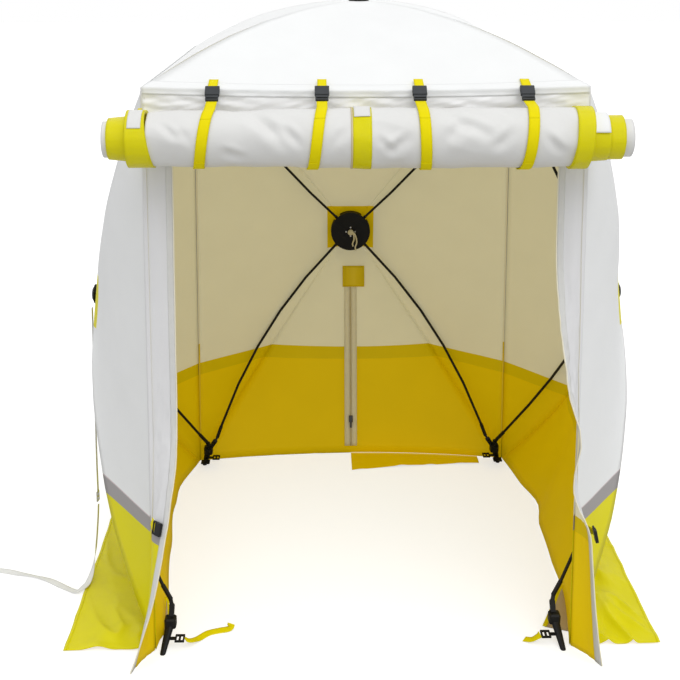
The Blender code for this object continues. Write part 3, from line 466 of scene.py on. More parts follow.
yellow_web = webbing_look("yellow_webbing_look", (0.84, 0.72, 0.0))
white_web = webbing_look("white_webbing_look", (0.80, 0.80, 0.78))
zip_cloth = webbing_look("zip_tape_look", (0.94, 0.89, 0.72), 0.0012)
pale_zip = webbing_look("pale_zip_tape_look", (0.74, 0.74, 0.72), 0.0012)
seam_cloth = webbing_look("seam_tape_look", (0.66, 0.57, 0.36), 0.0012)
beige_mesh = webbing_look("beige_mesh_look", (0.56, 0.44, 0.28), 0.0030)
print(len(bpy.data.materials), "materials so far")

# %% [markdown]
# ## The guy line and the pull cord
# The guy line leaves the left wall's hub as flat webbing, runs through a metal bar buckle, and
# goes on as a flat strap over the skirt's edge and along the ground. Its spare length is thin
# cord in a round coil beyond the picture's edge. Cords come first, because they have
# to fit the room that the camera leaves them.

# %% Cords and knots
GUY_WEBBING = [(-0.9360, 0.000, 0.925), (-0.9375, -0.012, 0.800), (-0.9365, -0.045, 0.600),
               (-0.9335, -0.090, 0.400), (-0.9300, -0.118, 0.275)]
GUY_STRAP = [(-0.9290, -0.128, 0.228), (-0.9300, -0.150, 0.175), (-0.9310, -0.195, 0.105),
             (-0.9340, -0.250, 0.050), (-0.9420, -0.298, 0.0220), (-0.9560, -0.324, 0.0160),
             (-0.9750, -0.332, 0.0075), (-0.9950, -0.320, 0.0034), (-1.0400, -0.290, 0.0034),
             (-1.0950, -0.252, 0.0034), (-1.1500, -0.228, 0.0034), (-1.2050, -0.212, 0.0034),
             (-1.2500, -0.1985, 0.0034), (-1.2900, -0.190, 0.0034), (-1.3240, -0.188, 0.0034)]
GUY_WIDTH = 0.022
GUY_CORD = 0.006
COIL_LEAD = 0.0333
COIL_TURNS = 2
COIL_PITCH = 0.0075
COIL_INNER = 0.0270
COIL_POINTS = 24


def cord_curve(name, points, diameter, material, rings=3):
    """A round cord along a route, as a curve with caps."""
    curve = bpy.data.curves.new(name, "CURVE")
    curve.dimensions = "3D"
    curve.bevel_depth = diameter / 2
    curve.bevel_resolution = rings
    curve.use_fill_caps = True
    spline = curve.splines.new("POLY")
    spline.points.add(len(points) - 1)
    for knot, point in zip(spline.points, points):
        knot.co = (*point, 1)
    curve.materials.append(material)
    piece = bpy.data.objects.new(name, curve)
    bpy.context.scene.collection.objects.link(piece)
    return piece


def cord_look(name, colour):
    """Braided cord: small slanted ridges wound round it."""
    look = Look(name, colour, 0.85, space="Object")
    look.paint(colour, 0.14, 120)
    look.bump(look.wave(160, "DIAGONAL"), 0.7, 0.0006)
    return look.material


def knot_piece(name, centre, radius, material):
    """A pulled-tight knot: a ball with the grooves that its crossing turns leave."""
    bm = bmesh.new()
    bmesh.ops.create_icosphere(bm, subdivisions=4, radius=radius,
                               matrix=Matrix.Translation(centre))
    for vertex in bm.verts:
        way = (vertex.co - centre).normalized()
        groove = math.sin(9 * math.atan2(way.y, way.x) + 7 * way.z)
        vertex.co = centre + way * radius * (1 + 0.09 * groove)
    for face in bm.faces:
        face.smooth = True
    return add_object(name, bm, [material])


cream_cord = cord_look("cream_cord", (0.74, 0.68, 0.50))
white_cord = cord_look("white_cord", (0.80, 0.79, 0.75))
webbing_route = smooth_route([MIDDLE + Vector(p) for p in GUY_WEBBING])
strap_route = smooth_route([MIDDLE + Vector(p) for p in GUY_STRAP])
print("The guy line's upper webbing is", round(route_length(webbing_route), 3), "m long")


# %% The spare cord's coil
def coil_route(strap):
    """The spare cord from a strap's end: in to the middle, up one layer, and out again."""
    start, way = strap[-1], (strap[-1] - strap[-2]).normalized()
    outer = COIL_INNER + COIL_PITCH * COIL_TURNS
    side = UP.cross(way).normalized()
    centre = start + way * COIL_LEAD + side * outer
    points = [start + way * COIL_LEAD * k / 3 for k in range(3)]

    def spot(turned, radius, height):
        angle = math.tau * turned
        return (centre - side * radius * math.cos(angle) + way * radius * math.sin(angle)
                + UP * height)
    total = COIL_TURNS * COIL_POINTS
    climb = COIL_POINTS // 2
    for k in range(total + 1):
        points.append(spot(k / COIL_POINTS, outer - COIL_PITCH * k / COIL_POINTS, 0.0))
    for k in range(1, climb):
        rise = COIL_PITCH * (0.5 - 0.5 * math.cos(math.pi * k / climb))
        points.append(spot(COIL_TURNS + k / COIL_POINTS, COIL_INNER, rise))
    for k in range(total + 1):
        turned = COIL_TURNS + 0.5 + k / COIL_POINTS
        points.append(spot(turned, COIL_INNER + COIL_PITCH * k / COIL_POINTS, COIL_PITCH))
    points.append(points[-1] + (points[-1] - points[-2]).normalized() * GUY_CORD)
    return points, centre


def coil_tie(name, centre, angle, material):
    """A short cord that binds the coil's turns: a loop round their section."""
    inner, outer = COIL_INNER - GUY_CORD, COIL_INNER + COIL_PITCH * COIL_TURNS + GUY_CORD
    middle = (inner + outer) / 2
    way = Vector((math.cos(angle), math.sin(angle), 0))
    section = []
    for k in range(25):
        turn = math.tau * k / 24
        reach = middle + (outer - inner) / 2 * 0.93 * math.cos(turn)
        section.append(centre + way * reach + UP * (COIL_PITCH / 2 + 0.0068 * math.sin(turn)))
    return cord_curve(name, section, 0.0018, material, 2)


coil_points, coil_centre = coil_route(strap_route)
coil_length = route_length(coil_points)
coil = cord_curve("guy_spare_cord", coil_points, GUY_CORD, white_cord)
end_knot = knot_piece("guy_end_knot", coil_points[-1] + UP * 0.005, 0.0078, white_cord)
tie = coil_tie("guy_coil_tie", coil_centre, 2.2, yellow_web)
fasten("guy_white", coil, end_knot, tie)
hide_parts("guy_coil")
print("Spare cord", round(coil_length, 3), "m")


# %% The guy line's two straps and its cords
def strap_facing(share):
    """The lower strap faces outwards at the buckle and upwards on the ground."""
    return Vector((-1, 0, 0)).lerp(UP, clamp((share - 0.20) / 0.22))


def strap_curl(share):
    """The strap rocks a little from side to side where it lies on the ground."""
    return 0.30 * math.sin(19 * share) * clamp((share - 0.5) * 6)


guy_strap = webbing("guy_strap", strap_route, GUY_WIDTH, strap_facing, white_web, 110,
                    twist=strap_curl)
fasten("guy_white", guy_strap)
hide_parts("guy_lower_strap")
route_length(strap_route)
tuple(coil_points[0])

guy_upper = webbing("guy_upper_strap", webbing_route, GUY_WIDTH, lambda s: Vector((-1, 0, 0)),
                    white_web, 60)
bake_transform(guy_upper)
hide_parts("guy_webbing")
route_length(webbing_route)
print("Guy strap", round(route_length(strap_route), 3), "m")

# %% Pull cord on the back hub
low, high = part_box("back_wall_hub")
pull_at = Vector(((low.x + high.x) / 2, low.y - 0.0115, (low.z + high.z) / 2))
PULL_CORD = 0.006
pull_knot = knot_piece("pull_cord_knot", pull_at, 0.0118, cream_cord)
fasten("cord_white", pull_knot, body="back_wall_hub")
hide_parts("hub_pull_cord")
for side_name, reach, drop in (("left", 0.004, 0.060), ("right", 0.016, 0.079)):
    tail = smooth_route([pull_at + Vector(shift) for shift in (
        (0.004, -0.006, 0.002), (0.010 + reach / 2, -0.011, -0.006),
        (0.010 + reach, -0.010, -drop * 0.5), (0.004 + reach, -0.006, -drop * 0.8),
        (0.006 + reach, -0.004, -drop))])
    strand = cord_curve(f"pull_cord_{side_name}", tail, PULL_CORD, cream_cord)
    fasten("cord_white", strand, body="back_wall_hub")
    route_length(tail)
print("Pull cord knot at", [round(v, 3) for v in pull_at])

# %% [markdown]
# ## The sprung walls and the roof
# Each wall and the roof is a square of cloth with a hub in its middle. The rods push the hub out,
# so the cloth stands like a low pyramid with soft, crowned sides. Every side is made as four
# triangles that meet at the hub.


# %% The sides' shapes
class Side:
    """A sprung side: a flat frame of four corners that its hub stands out from."""

    def __init__(self, name, origin, right, up, corners, hub, bulge, crowns, ground):
        self.name = name
        self.origin = origin
        self.right = right.normalized()
        self.up = up.normalized()
        self.out = self.right.cross(self.up)
        self.corners = [Vector(corner) for corner in corners]
        self.hub = Vector(hub)
        self.bulge = bulge
        self.crowns = crowns
        self.ground = ground
        self.foot_shifts = ()

    def point(self, flat, out=0.0):
        return self.origin + self.right * flat[0] + self.up * flat[1] + self.out * out

    def edge_foot(self, edge):
        """The flat place on an edge's line that is nearest to the hub."""
        first, last = self.corners[edge], self.corners[(edge + 1) % 4]
        way = (last - first).normalized()
        return first + way * (self.hub - first).dot(way)

    def blend_ends(self, edge):
        """Two places on the line from an edge's foot to the hub: a tenth of the way out, and just
        past the hub.
        """
        return [self.point(self.edge_foot(edge).lerp(self.hub, share)) for share in (0.10, 1.05)]

    def flat(self, edge, across, share):
        ends = []
        for corner in (self.corners[edge], self.corners[(edge + 1) % 4]):
            lift = SEAM_GAP if corner in self.corners[:2] else -SEAM_GAP
            ends.append(corner + Vector((-math.copysign(SEAM_GAP, corner.x), lift)))
        return ends[0].lerp(ends[1], across).lerp(self.hub, share)

    def height(self, edge, across, share):
        """How far the cloth stands out: a straight rise, a crown, and a bow along the ground."""
        side = abs(2 * across - 1)
        on_ground = self.ground and edge == 0
        middle = 0.15 if on_ground else 0.6
        near_hub = clamp((share - 0.82) / 0.08)
        first, last = self.crowns[edge], self.crowns[(edge + 1) % 4]
        crown = 4 * share * (1 - share) * (first + (last - first) * across)
        crown *= middle + (1 - middle) * max(side * side, near_hub)
        bow = BASE_BOW * (1 - side ** 2) * (1 - share) if on_ground else 0.0
        if on_ground:
            bow += self.foot_shift(across) * max(0.0, 1 - share * 1.6) ** 1.5
        return self.bulge * share + crown + bow

    def foot_shift(self, across):
        """How far the cloth's foot lies out from its even bow, between the stated places."""
        for (first, low), (last, high) in zip(self.foot_shifts, self.foot_shifts[1:]):
            if across <= last:
                share = (across - first) / (last - first)
                return low + (high - low) * share * share * (3 - 2 * share)
        return 0.0

    def surface(self, edge, across, share, lift=0.0):
        """A point on the cloth's outer face, with its creases."""
        flat = self.flat(edge, across, share)
        loose = min(1.0, 5 * share, 9 * (1 - share)) * min(1.0, 6 * share)
        broad = ripple(flat.x, flat.y, 3.0 + self.bulge, 3.2)
        fine = ripple(flat.x, flat.y, 9.0, 11.0)
        drawn = CLOTH_STAND + loose * max(-0.0012, 0.0042 * broad + 0.0014 * fine)
        return self.point(flat, self.height(edge, across, share) + drawn + lift)


# %% The four sides
def wall_side(name, turn):
    spin = Matrix.Rotation(turn, 3, "Z")
    lean = HALF_EAVE - HALF_BASE
    rise = EAVE_HEIGHT - FLOOR_GAP
    length = math.hypot(lean, rise)
    corners = [(-HALF_BASE, 0), (HALF_BASE, 0), (HALF_EAVE, length), (-HALF_EAVE, length)]
    origin = MIDDLE + spin @ Vector((0, HALF_BASE, FLOOR_GAP))
    return Side(name, origin, spin @ Vector((-1, 0, 0)), spin @ Vector((0, lean, rise)),
                corners, (0, WALL_HUB_HEIGHT), WALL_BULGE,
                (WALL_LOW_CROWN, WALL_LOW_CROWN, WALL_HIGH_CROWN, WALL_HIGH_CROWN), True)


back_side = wall_side("back_wall", 0.0)
left_side = wall_side("left_wall", math.pi / 2)
right_side = wall_side("right_wall", -math.pi / 2)
left_side.foot_shifts = ((0.0, 0.0), (0.18, 0.018), (0.30, 0.002), (0.55, -0.034),
                         (0.80, -0.046), (0.91, -0.040), (1.0, 0.0))
right_side.foot_shifts = ((0.0, 0.0), (0.20, 0.0), (0.38, -0.016), (0.55, -0.014),
                          (0.70, 0.022), (0.84, 0.0), (1.0, 0.0))
right_side.crowns = (0.096, 0.096, 0.040, 0.040)
roof_side = Side("roof", MIDDLE + UP * EAVE_HEIGHT, Vector((1, 0, 0)),
                 Vector((0, 1, 0)), [(-HALF_EAVE, -HALF_EAVE), (HALF_EAVE, -HALF_EAVE),
                                     (HALF_EAVE, HALF_EAVE), (-HALF_EAVE, HALF_EAVE)],
                 (0, 0), ROOF_RISE, (ROOF_CROWN,) * 4, False)
FRONT_SAG = 0.012
print("The walls bulge", WALL_BULGE, "m and the roof rises", ROOF_RISE, "m")


def front_sag(x):
    """How far the front eave hangs below its corners."""
    return FRONT_SAG * (1 - min(1.0, abs(x) / HALF_EAVE) ** 2)


def on_side(side, edge, across, share, lift=0.0, reach=1.0):
    """A point on a side's cloth. Along its front edge the roof hangs a little."""
    point = side.surface(edge, across, share * reach, lift)
    if side is roof_side and edge == 0:
        point.z -= front_sag(point.x) * (1 - share) ** 3
    return point


# %% Cloth of the sides
HUB_OPENING = 0.012


def side_cloth(side, outside, inside):
    """The four triangles of a side, each a stretched sheet of its own."""
    reach = 1 - HUB_OPENING / (side.corners[2] - side.hub).length
    for edge, edge_name in enumerate(("low", "right", "top", "left")):
        gore = cloth(f"{side.name}_cloth_{edge_name}", 28, 30,
                     lambda a, s: on_side(side, edge, a, s, reach=reach),
                     lambda a, s: tuple(side.flat(edge, a, s * reach)), [outside, inside])
        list(side.blend_ends(edge))
        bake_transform(gore)
        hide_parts(f"{side.name}_panel")
        slant = math.hypot((side.hub - side.edge_foot(edge)).length, side.bulge)


side_cloth(back_side, wall_out, back_wall_in)
side_cloth(left_side, wall_out, wall_in)
side_cloth(right_side, wall_out, wall_in)
side_cloth(roof_side, white_out, white_in)
print("Walls and roof:", sum(len(o.data.vertices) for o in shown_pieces() if "_cloth_" in o.name),
      "vertices")

# %% [markdown]
# ## Seams and bindings
# Where two sides of the tent meet, their cut edges are covered. A strip is described by rails:
# each rail is a line along the seam, and the strip runs smoothly from the first rail to the last.

# %% Strips along the seams
NEAR_EDGE = 0.020
RAIL_STEPS = 3


def rail_strip(name, rails, rows, materials, metres, thick=BINDING, slot_name="white_cloth"):
    """Cloth across several rails. Each rail gives a point for a share of the way along."""
    lines = {}

    def place(across, along):
        if along not in lines:
            lines[along] = smooth_route([rail(along) for rail in rails], RAIL_STEPS)
        return along_route(lines[along], across)
    columns = (len(rails) - 1) * RAIL_STEPS
    return fasten(slot_name, cloth(name, columns, rows, place, metres, materials, thick))


def rail_on(side, edge, share, lift, backwards=False):
    """A rail on a side's outer face, at a share of the way in from one of its edges."""
    return lambda along: on_side(side, edge, 1 - along if backwards else along, share, lift)


def rim_rails(side, edge, backwards=False):
    """A binding's two rails on one side, from its rim towards the seam."""
    return [rail_on(side, edge, NEAR_EDGE, 0.0009, backwards),
            rail_on(side, edge, NEAR_EDGE / 2, 0.0013, backwards)]


def half_width(share):
    """Half the tent's width at a share of the way up to the eave."""
    return HALF_BASE + (HALF_EAVE - HALF_BASE) * share


def corner_rail(x_sign, y_sign, stand):
    """The corner's edge from the ground to the eave, moved straight out by a small stand."""
    def rail(along):
        half = half_width(along) + stand
        rise = FLOOR_GAP + (EAVE_HEIGHT - FLOOR_GAP) * along
        return MIDDLE + Vector((x_sign * half, y_sign * half, rise))
    return rail


def eave_rail(wall, stand=0.0016):
    """The line where a wall meets the roof, moved out from both of them."""
    return lambda along: (wall.surface(2, 1 - along, 0.0) + roof_side.out * stand
                          + wall.out * stand)


def inner_rail(x_sign, deep, shift_x=0.0, shift_y=0.0):
    """A line up the inside of a back corner, deep in from the corner's edge."""
    def rail(along):
        half = half_width(along) - deep
        rise = 0.10 + (EAVE_HEIGHT - 0.14) * along
        return MIDDLE + Vector((x_sign * half + shift_x, half + shift_y, rise))
    return rail


def height_up(across, along):
    return across * 0.04, along * (EAVE_HEIGHT - FLOOR_GAP)


def width_along(across, along):
    return along * EAVE_WIDTH, across * 0.04


# %% Bindings and inner seams
for name, x_sign, first, second in (("back_left", -1, back_side, left_side),
                                    ("back_right", 1, right_side, back_side)):
    rail_strip(f"corner_binding_{name}",
               rim_rails(first, 1) + [corner_rail(x_sign, 1, 0.0022)]
               + rim_rails(second, 3, True)[::-1], 60, [strip_out], height_up)
for name, wall, roof_edge in (("back", back_side, 2), ("left", left_side, 3),
                              ("right", right_side, 1)):
    rail_strip(f"eave_binding_{name}",
               rim_rails(wall, 2, True) + [eave_rail(wall)]
               + rim_rails(roof_side, roof_edge)[::-1], 50, [white_out], width_along)
for name, x_sign in (("left", -1), ("right", 1)):
    rails = [inner_rail(x_sign, 0.0035, shift_y=-0.005), inner_rail(x_sign, 0.0060),
             inner_rail(x_sign, 0.0035, shift_x=-0.005 * x_sign)]
    rail_strip(f"inner_seam_{name}", rails[::-x_sign], 50, [seam_in], (0.024, 1.66), 0.0010,
               "zip_tape")
print("The bindings reach", NEAR_EDGE, "of the way in to the hubs")

# %% [markdown]
# ## The front
# There is no hub at the front. A narrow strip of wall stands beside each side of the doorway, with
# a pale zip tape along its free edge. Lower down, the strips swing forwards and outwards, so
# their golden inner face shows. Above the doorway hangs a creased white valance.

# %% Jambs and their zips
JAMB_WIDTH = 0.080
JAMB_FOOT_WIDTH = 0.125
ZIP_TAPE_WIDTH = 0.016
ZIP_TAPE_THICK = 0.0034
TEETH_THICK = 0.0042
LEFT_TURNS = ((0.0, 118), (0.22, 86), (0.44, 56), (0.76, 0))
RIGHT_TURNS = ((0.0, 125), (0.22, 112), (0.46, 104), (0.56, 72), (0.64, 72), (0.74, 84),
               (0.92, 54), (1.30, 0))
VALANCE_DEPTH = 0.075
JAMB_TOP = EAVE_HEIGHT - VALANCE_DEPTH / 2


def turn_at(turns, height):
    """How far a jamb has swung at a height, in radians, between the stated turns."""
    for (low, first), (high, second) in zip(turns, turns[1:]):
        if height <= high:
            return -math.radians(first + (second - first) * (height - low) / (high - low))
    return 0.0


def jamb_point(x_sign, turns, across, up, stand=0.0):
    """A point of a jamb. across is 0 at the corner seam and 1 at the free edge. Its wave is
    made of soft folds, a gather low down, and slanted creases where the strip is bunched."""
    turn_height = turns[-1][0]
    height = FLOOR_GAP + 0.002 + (JAMB_TOP - FLOOR_GAP) * up
    half = half_width(height / EAVE_HEIGHT)
    low = max(0.0, 1 - height / turn_height)
    turn = sum(turn_at(turns, height + shift) for shift in (-0.04, -0.02, 0.0, 0.02, 0.04)) / 5
    width = JAMB_WIDTH + (JAMB_FOOT_WIDTH - JAMB_WIDTH) * low ** 2
    wave = 0.006 * math.sin(math.pi * across) * (1 + math.sin(math.tau * 1.6 * up))
    loose = min(1.0, 3 * across)
    wave += loose * (0.0035 * ripple(across * 0.4 * x_sign, height, 21.0, 6.0)
                     + 0.003 * low * ripple(across * x_sign, height * 0.5, 5.0, 9.0))
    bunched = 1 - min(1.0, abs(height - (0.70 if x_sign < 0 else 0.95)) / 0.42)
    slanted = ripple(across * 0.35 + height * 0.8 * x_sign, height * 0.35 - across * 0.3,
                     31.0, 14.0)
    wave += loose * bunched * (0.010 * abs(slanted) - 0.004
                               + 0.004 * ripple(across * 0.5, height, 33.0, 24.0))
    wave -= stand
    seam = half + 0.005
    x = -seam + math.cos(turn) * width * across + math.sin(turn) * wave
    y = -seam + math.sin(turn) * width * across - math.cos(turn) * wave
    return MIDDLE + Vector((-x_sign * x, y, height))


def front_jamb(name, x_sign, turns):
    """A jamb with the tape and the teeth of its zip."""
    def place(across, up, stand=0.0, start=0.0, end=1.0):
        share = across if x_sign < 0 else 1 - across
        return jamb_point(x_sign, turns, start + (end - start) * share, up, stand)
    jamb = cloth(f"jamb_{name}", 14, 90, place, (JAMB_WIDTH, JAMB_TOP), [strip_out, strip_in])
    tape = cloth(f"jamb_zip_tape_{name}", 4, 90, lambda a, u: place(a, u, -0.0011, 0.80, 1.02),
                 (ZIP_TAPE_WIDTH, JAMB_TOP), [pale_zip], ZIP_TAPE_THICK)
    teeth_at = [jamb_point(x_sign, turns, 1.035, k / 60) for k in range(61)]
    teeth = cord_curve(f"jamb_zip_teeth_{name}", teeth_at, TEETH_THICK, zip_cloth, 2)
    fasten("white_cloth", jamb)
    fasten("zip_tape", tape, teeth)
    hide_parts(f"front_jamb_{name}")


def jamb_rail(x_sign, turns, across):
    return lambda along: jamb_point(x_sign, turns, across, along * EAVE_HEIGHT / JAMB_TOP,
                                    -0.0014)


front_jamb("left", -1, LEFT_TURNS)
front_jamb("right", 1, RIGHT_TURNS)
for name, x_sign, side, edge, turns in (("left", -1, left_side, 1, LEFT_TURNS),
                                        ("right", 1, right_side, 3, RIGHT_TURNS)):
    rails = rim_rails(side, edge, x_sign > 0) + [corner_rail(x_sign, -1, 0.0060),
                                                 jamb_rail(x_sign, turns, 0.06),
                                                 jamb_rail(x_sign, turns, 0.14)]
    rail_strip(f"corner_binding_front_{name}", rails[::x_sign], 60, [strip_in, strip_out],
               height_up)
print("The jambs are", JAMB_WIDTH, "m wide, and", JAMB_FOOT_WIDTH, "m at the foot")

# %% Valance and front eave
def valance_point(across, up, stand=0.0):
    """The white strip above the doorway. up is 0 at its hem and 1 at the eave."""
    x = (HALF_EAVE + 0.002) * (2 * across - 1)
    top = EAVE_HEIGHT - 0.003 - front_sag(x)
    z = top - VALANCE_DEPTH * (1 - up)
    loose = math.sin(math.pi * min(1.0, 0.12 + 0.88 * (1 - up)) / 1.25)
    folds = 0.5 + 0.5 * ripple(x * 1.8 + 0.35 * up, up * 0.35, 4.0, 7.0)
    folds += 0.30 * ripple(x * 3.0 - 0.5 * up, up * 0.5, 8.0, 11.0)
    end = max(0.0, abs(2 * across - 1) - 0.80) * 5
    y = -HALF_EAVE - 0.0040 - 0.0035 * end - stand - 0.011 * loose * max(0.0, folds)
    return MIDDLE + Vector((x, y, z))


valance = cloth("valance", 150, 16, valance_point, (EAVE_WIDTH, VALANCE_DEPTH),
                [valance_lit_white, white_in])
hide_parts("front_valance")
hem = rail_strip("front_eave_binding",
                 [lambda s: valance_point(s, 0.80, 0.0012),
                  lambda s: valance_point(s, 0.94, 0.0012),
                  lambda s: valance_point(s, 1.0, 0.0020) + UP * 0.0055,
                  rail_on(roof_side, 0, 0.014, 0.0016), rail_on(roof_side, 0, 0.030, 0.0010)],
                 120, [white_out], width_along, 0.0010)
low_hem = cloth("valance_hem", 150, 3, lambda a, u: valance_point(a, 0.14 * u - 0.01, 0.0012),
                (EAVE_WIDTH, 0.01), [white_out], 0.0034)
fasten("white_cloth", valance, low_hem)
print("The valance is", VALANCE_DEPTH, "m deep")

# %% [markdown]
# ## The rolled-up door
# The door is rolled up under the eave and held by four straps. Its outer turn is one wide sleeve
# of white cloth with soft dents, dented less where a strap presses it flat. Yellow edges of the
# cloth show as sleeves of their own at both ends and in the middle, and each end shows the
# spiral of the turns inside.

# %% The roll's shape
SLEEVE_CLOTH = 0.0014
ROLL_AXIS = MIDDLE + Vector((0, -HALF_EAVE - 0.108, EAVE_HEIGHT - 0.127))
ROLL_RADIUS = 0.084
ROLL_LEFT_RADIUS = 0.077
STRAP_PLACES = ((-0.426, -0.460), (-0.124, -0.152), (0.146, 0.157), (0.445, 0.423))


def roll_radius(x):
    """The outer turn's radius: full from the middle to the right, less to its left end."""
    share = clamp(1 - x / -0.648)
    return ROLL_LEFT_RADIUS + (ROLL_RADIUS - ROLL_LEFT_RADIUS) * share


ROLL_CREASES = (
    (-0.505, 153, -0.445, 190, 0.012, 0.0085), (-0.325, 108, -0.205, 194, 0.017, 0.0100),
    (-0.240, 140, -0.170, 193, 0.012, 0.0095), (0.046, 203, 0.120, 165, 0.014, 0.0090),
    (0.020, 168, 0.075, 205, 0.010, 0.0045), (0.180, 186, 0.275, 132, 0.018, 0.0080),
    (0.200, 120, 0.330, 170, 0.014, 0.0055), (0.330, 196, 0.400, 150, 0.014, 0.0065),
    (0.455, 160, 0.520, 204, 0.012, 0.0075), (-0.560, 135, -0.500, 178, 0.010, 0.0045),
    (-0.115, 200, -0.060, 150, 0.012, 0.0060), (-0.400, 196, -0.330, 215, 0.014, 0.0060),
    (0.350, 110, 0.410, 128, 0.012, 0.0040), (-0.560, 300, -0.300, 330, 0.020, 0.0060),
    (0.100, 300, 0.380, 345, 0.020, 0.0060))


def crease_depth(x, around, crease):
    """How deep one crease is at a place: a groove with a raised lip along its upper side."""
    x_start, first, x_end, last, width, depth = crease
    start = Vector((x_start, math.radians(first) * ROLL_RADIUS))
    end = Vector((x_end, math.radians(last) * ROLL_RADIUS))
    way = end - start
    here = Vector((x, around)) - start
    share = here.dot(way) / way.length_squared
    if share < -0.15 or share > 1.15:
        return 0.0
    off = (here.x * way.y - here.y * way.x) / way.length / width
    if abs(off) > 5:
        return 0.0
    fade = max(0.0, 1 - (2 * share - 1) ** 2 * 0.76) ** 1.5
    return depth * fade * (math.exp(-off * off) - 0.55 * math.exp(-((off - 1.7) / 0.8) ** 2)
                           - 0.35 * math.exp(-((off + 1.9) / 1.1) ** 2))


def roll_skin(x, angle):
    """The outer turn with its dents. It is full where a strap runs over it."""
    free = 1.0
    for places in STRAP_PLACES:
        middle = sum(places) / 2
        free = min(free, max(0.0, (abs(x - middle) - 0.022) / 0.05))
    slant = x * 7 + 0.9 * math.sin(angle) + 0.5 * math.cos(angle)
    dent = noise.noise(Vector((slant, math.cos(angle) * 0.8, math.sin(angle) * 0.8 + 4)))
    small = noise.noise(Vector((x * 22, math.cos(angle) * 2.2, math.sin(angle) * 2.2)))
    spiral = 0.0016 * angle / math.tau
    around = (angle % math.tau) * ROLL_RADIUS
    drawn = sum(crease_depth(x, around, crease) for crease in ROLL_CREASES)
    soft = 0.008 * min(0.10, dent)
    return roll_radius(x) - 0.0016 + spiral + free * (soft - drawn + 0.0010 * small)


def roll_place(x, angle, radius):
    return ROLL_AXIS + Vector((x, math.cos(angle) * radius, math.sin(angle) * radius))


def sleeve(name, left, right, radius, materials, columns, lip, turns=72):
    """A turn of cloth. left and right give its ends for an angle, and lip is how far its end
    faces reach in towards the middle."""
    def place(across, along):
        angle = math.radians(-70) - math.tau * along
        inner = clamp((across * columns - 1) / (columns - 2))
        x = left(angle) + (right(angle) - left(angle)) * inner
        end = across < 0.5 / columns or across > 1 - 0.5 / columns
        return roll_place(x, angle, radius(x, angle) - (lip if end else 0.0))
    around = math.tau * radius((left(0.0) + right(0.0)) / 2, 0.0)
    length = right(0.0) - left(0.0)
    return fasten("white_cloth", cloth(name, columns, turns, place,
                                       lambda a, s: (left(0.0) + a * length, s * around),
                                       materials, SLEEVE_CLOTH))


def at(x, slant=0.0):
    """An end of a sleeve, at x, leaning by slant between its top and its bottom."""
    return lambda angle: x - slant * math.sin(angle)


def wavy(base, seed, slope=0.0, start=0.0):
    """A radius with a faint wave, which grows by slope from x = start on."""
    return lambda x, angle: base + slope * (x - start) + 0.001 * ripple(x, angle, seed, 5.0)


def over_skin(lift):
    """A radius that lies over the roll's own skin."""
    return lambda x, angle: roll_skin(x, angle) + lift


print(len(ROLL_CREASES), "creases on the roll")

# %% The roll's turns
roll_white = sleeve("door_roll_white", at(-0.592), at(0.560), roll_skin,
                    [roll_shaded_white_look, white_in], 220, 0.004, turns=110)
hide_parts("rolled_door")
yellow, lined = [yellow_out], [yellow_out, white_in]
roll_parts = [sleeve(f"door_roll_{name}", *rest) for name, *rest in (
    ("yellow_left", at(-0.648), at(-0.588, 0.011), wavy(ROLL_LEFT_RADIUS + 0.0012, 2.0),
     yellow, 10, 0.012),
    ("tip_left", at(-0.700), at(-0.645), wavy(0.0560, 7.0, 0.10, -0.700), yellow, 10, 0.010),
    ("band", at(-0.045), at(0.008), over_skin(0.0016), yellow, 8, 0.002),
    ("band_edge", at(-0.0475), at(-0.0425), over_skin(0.0026), [seam_cloth], 4, 0.003),
    ("yellow_right", at(0.554, -0.006), at(0.600, -0.006), wavy(ROLL_RADIUS + 0.0018, 3.0),
     yellow, 10, 0.018),
    ("step_right", at(0.598), at(0.650), wavy(0.0660, 11.0, -0.06, 0.598), lined, 10, 0.006),
    ("tip_right", at(0.648), at(0.690), wavy(0.0605, 13.0), yellow, 8, 0.006))]


SPIRAL_PITCH = 0.0060
SPIRAL_CORE = 0.010


def spiral_end(name, x_near, x_far, radius):
    """The spiral of turns that shows at an end of the roll, each turn a little further out."""
    turns = (radius - SPIRAL_CORE) / SPIRAL_PITCH

    def place(across, along):
        angle = math.tau * turns * along
        across = 1 - across if x_far < x_near else across
        out = x_far + (x_far - x_near) * 0.10 * math.sin(3 * angle) * along
        x = x_near + (out - x_near) * across
        return roll_place(x, -angle, radius - SPIRAL_PITCH * turns * along)
    return fasten("white_cloth", cloth(name, 4, int(turns * 28), place, (0.03, 1.2),
                                       [roll_shaded_white_look], 0.0022))


def roll_patch(name, x_low, x_high, angle_low, angle_high, radius, material):
    """A piece of cloth sewn on the roll, between two angles in degrees."""
    def place(across, along):
        angle = math.radians(angle_high + (angle_low - angle_high) * along)
        x = x_low + (x_high - x_low) * across
        return roll_place(x, angle, radius(x, angle))
    return fasten("white_cloth", cloth(name, 8, 20, place, (0.1, 0.1), [material]))


roll_parts += [
    spiral_end("door_spiral_left", -0.690, -0.714, 0.0525),
    spiral_end("door_spiral_right", 0.680, 0.716, 0.0550),
    roll_patch("door_patch_left", -0.640, -0.604, 95, 150,
               lambda x, angle: ROLL_LEFT_RADIUS + 0.0030, roll_shaded_white_look),
    roll_patch("door_patch_middle", -0.040, 0.004, 80, 128, over_skin(0.0030), roll_shaded_white_look),
    roll_patch("door_patch_right", 0.586, 0.646, 70, 160,
               lambda x, angle: 0.0690 + 0.010 * max(0.0, (0.61 - x) / 0.03), white_out)]
print("Roll radius at its middle", round(roll_skin(0.0, 0.0), 4), "m")

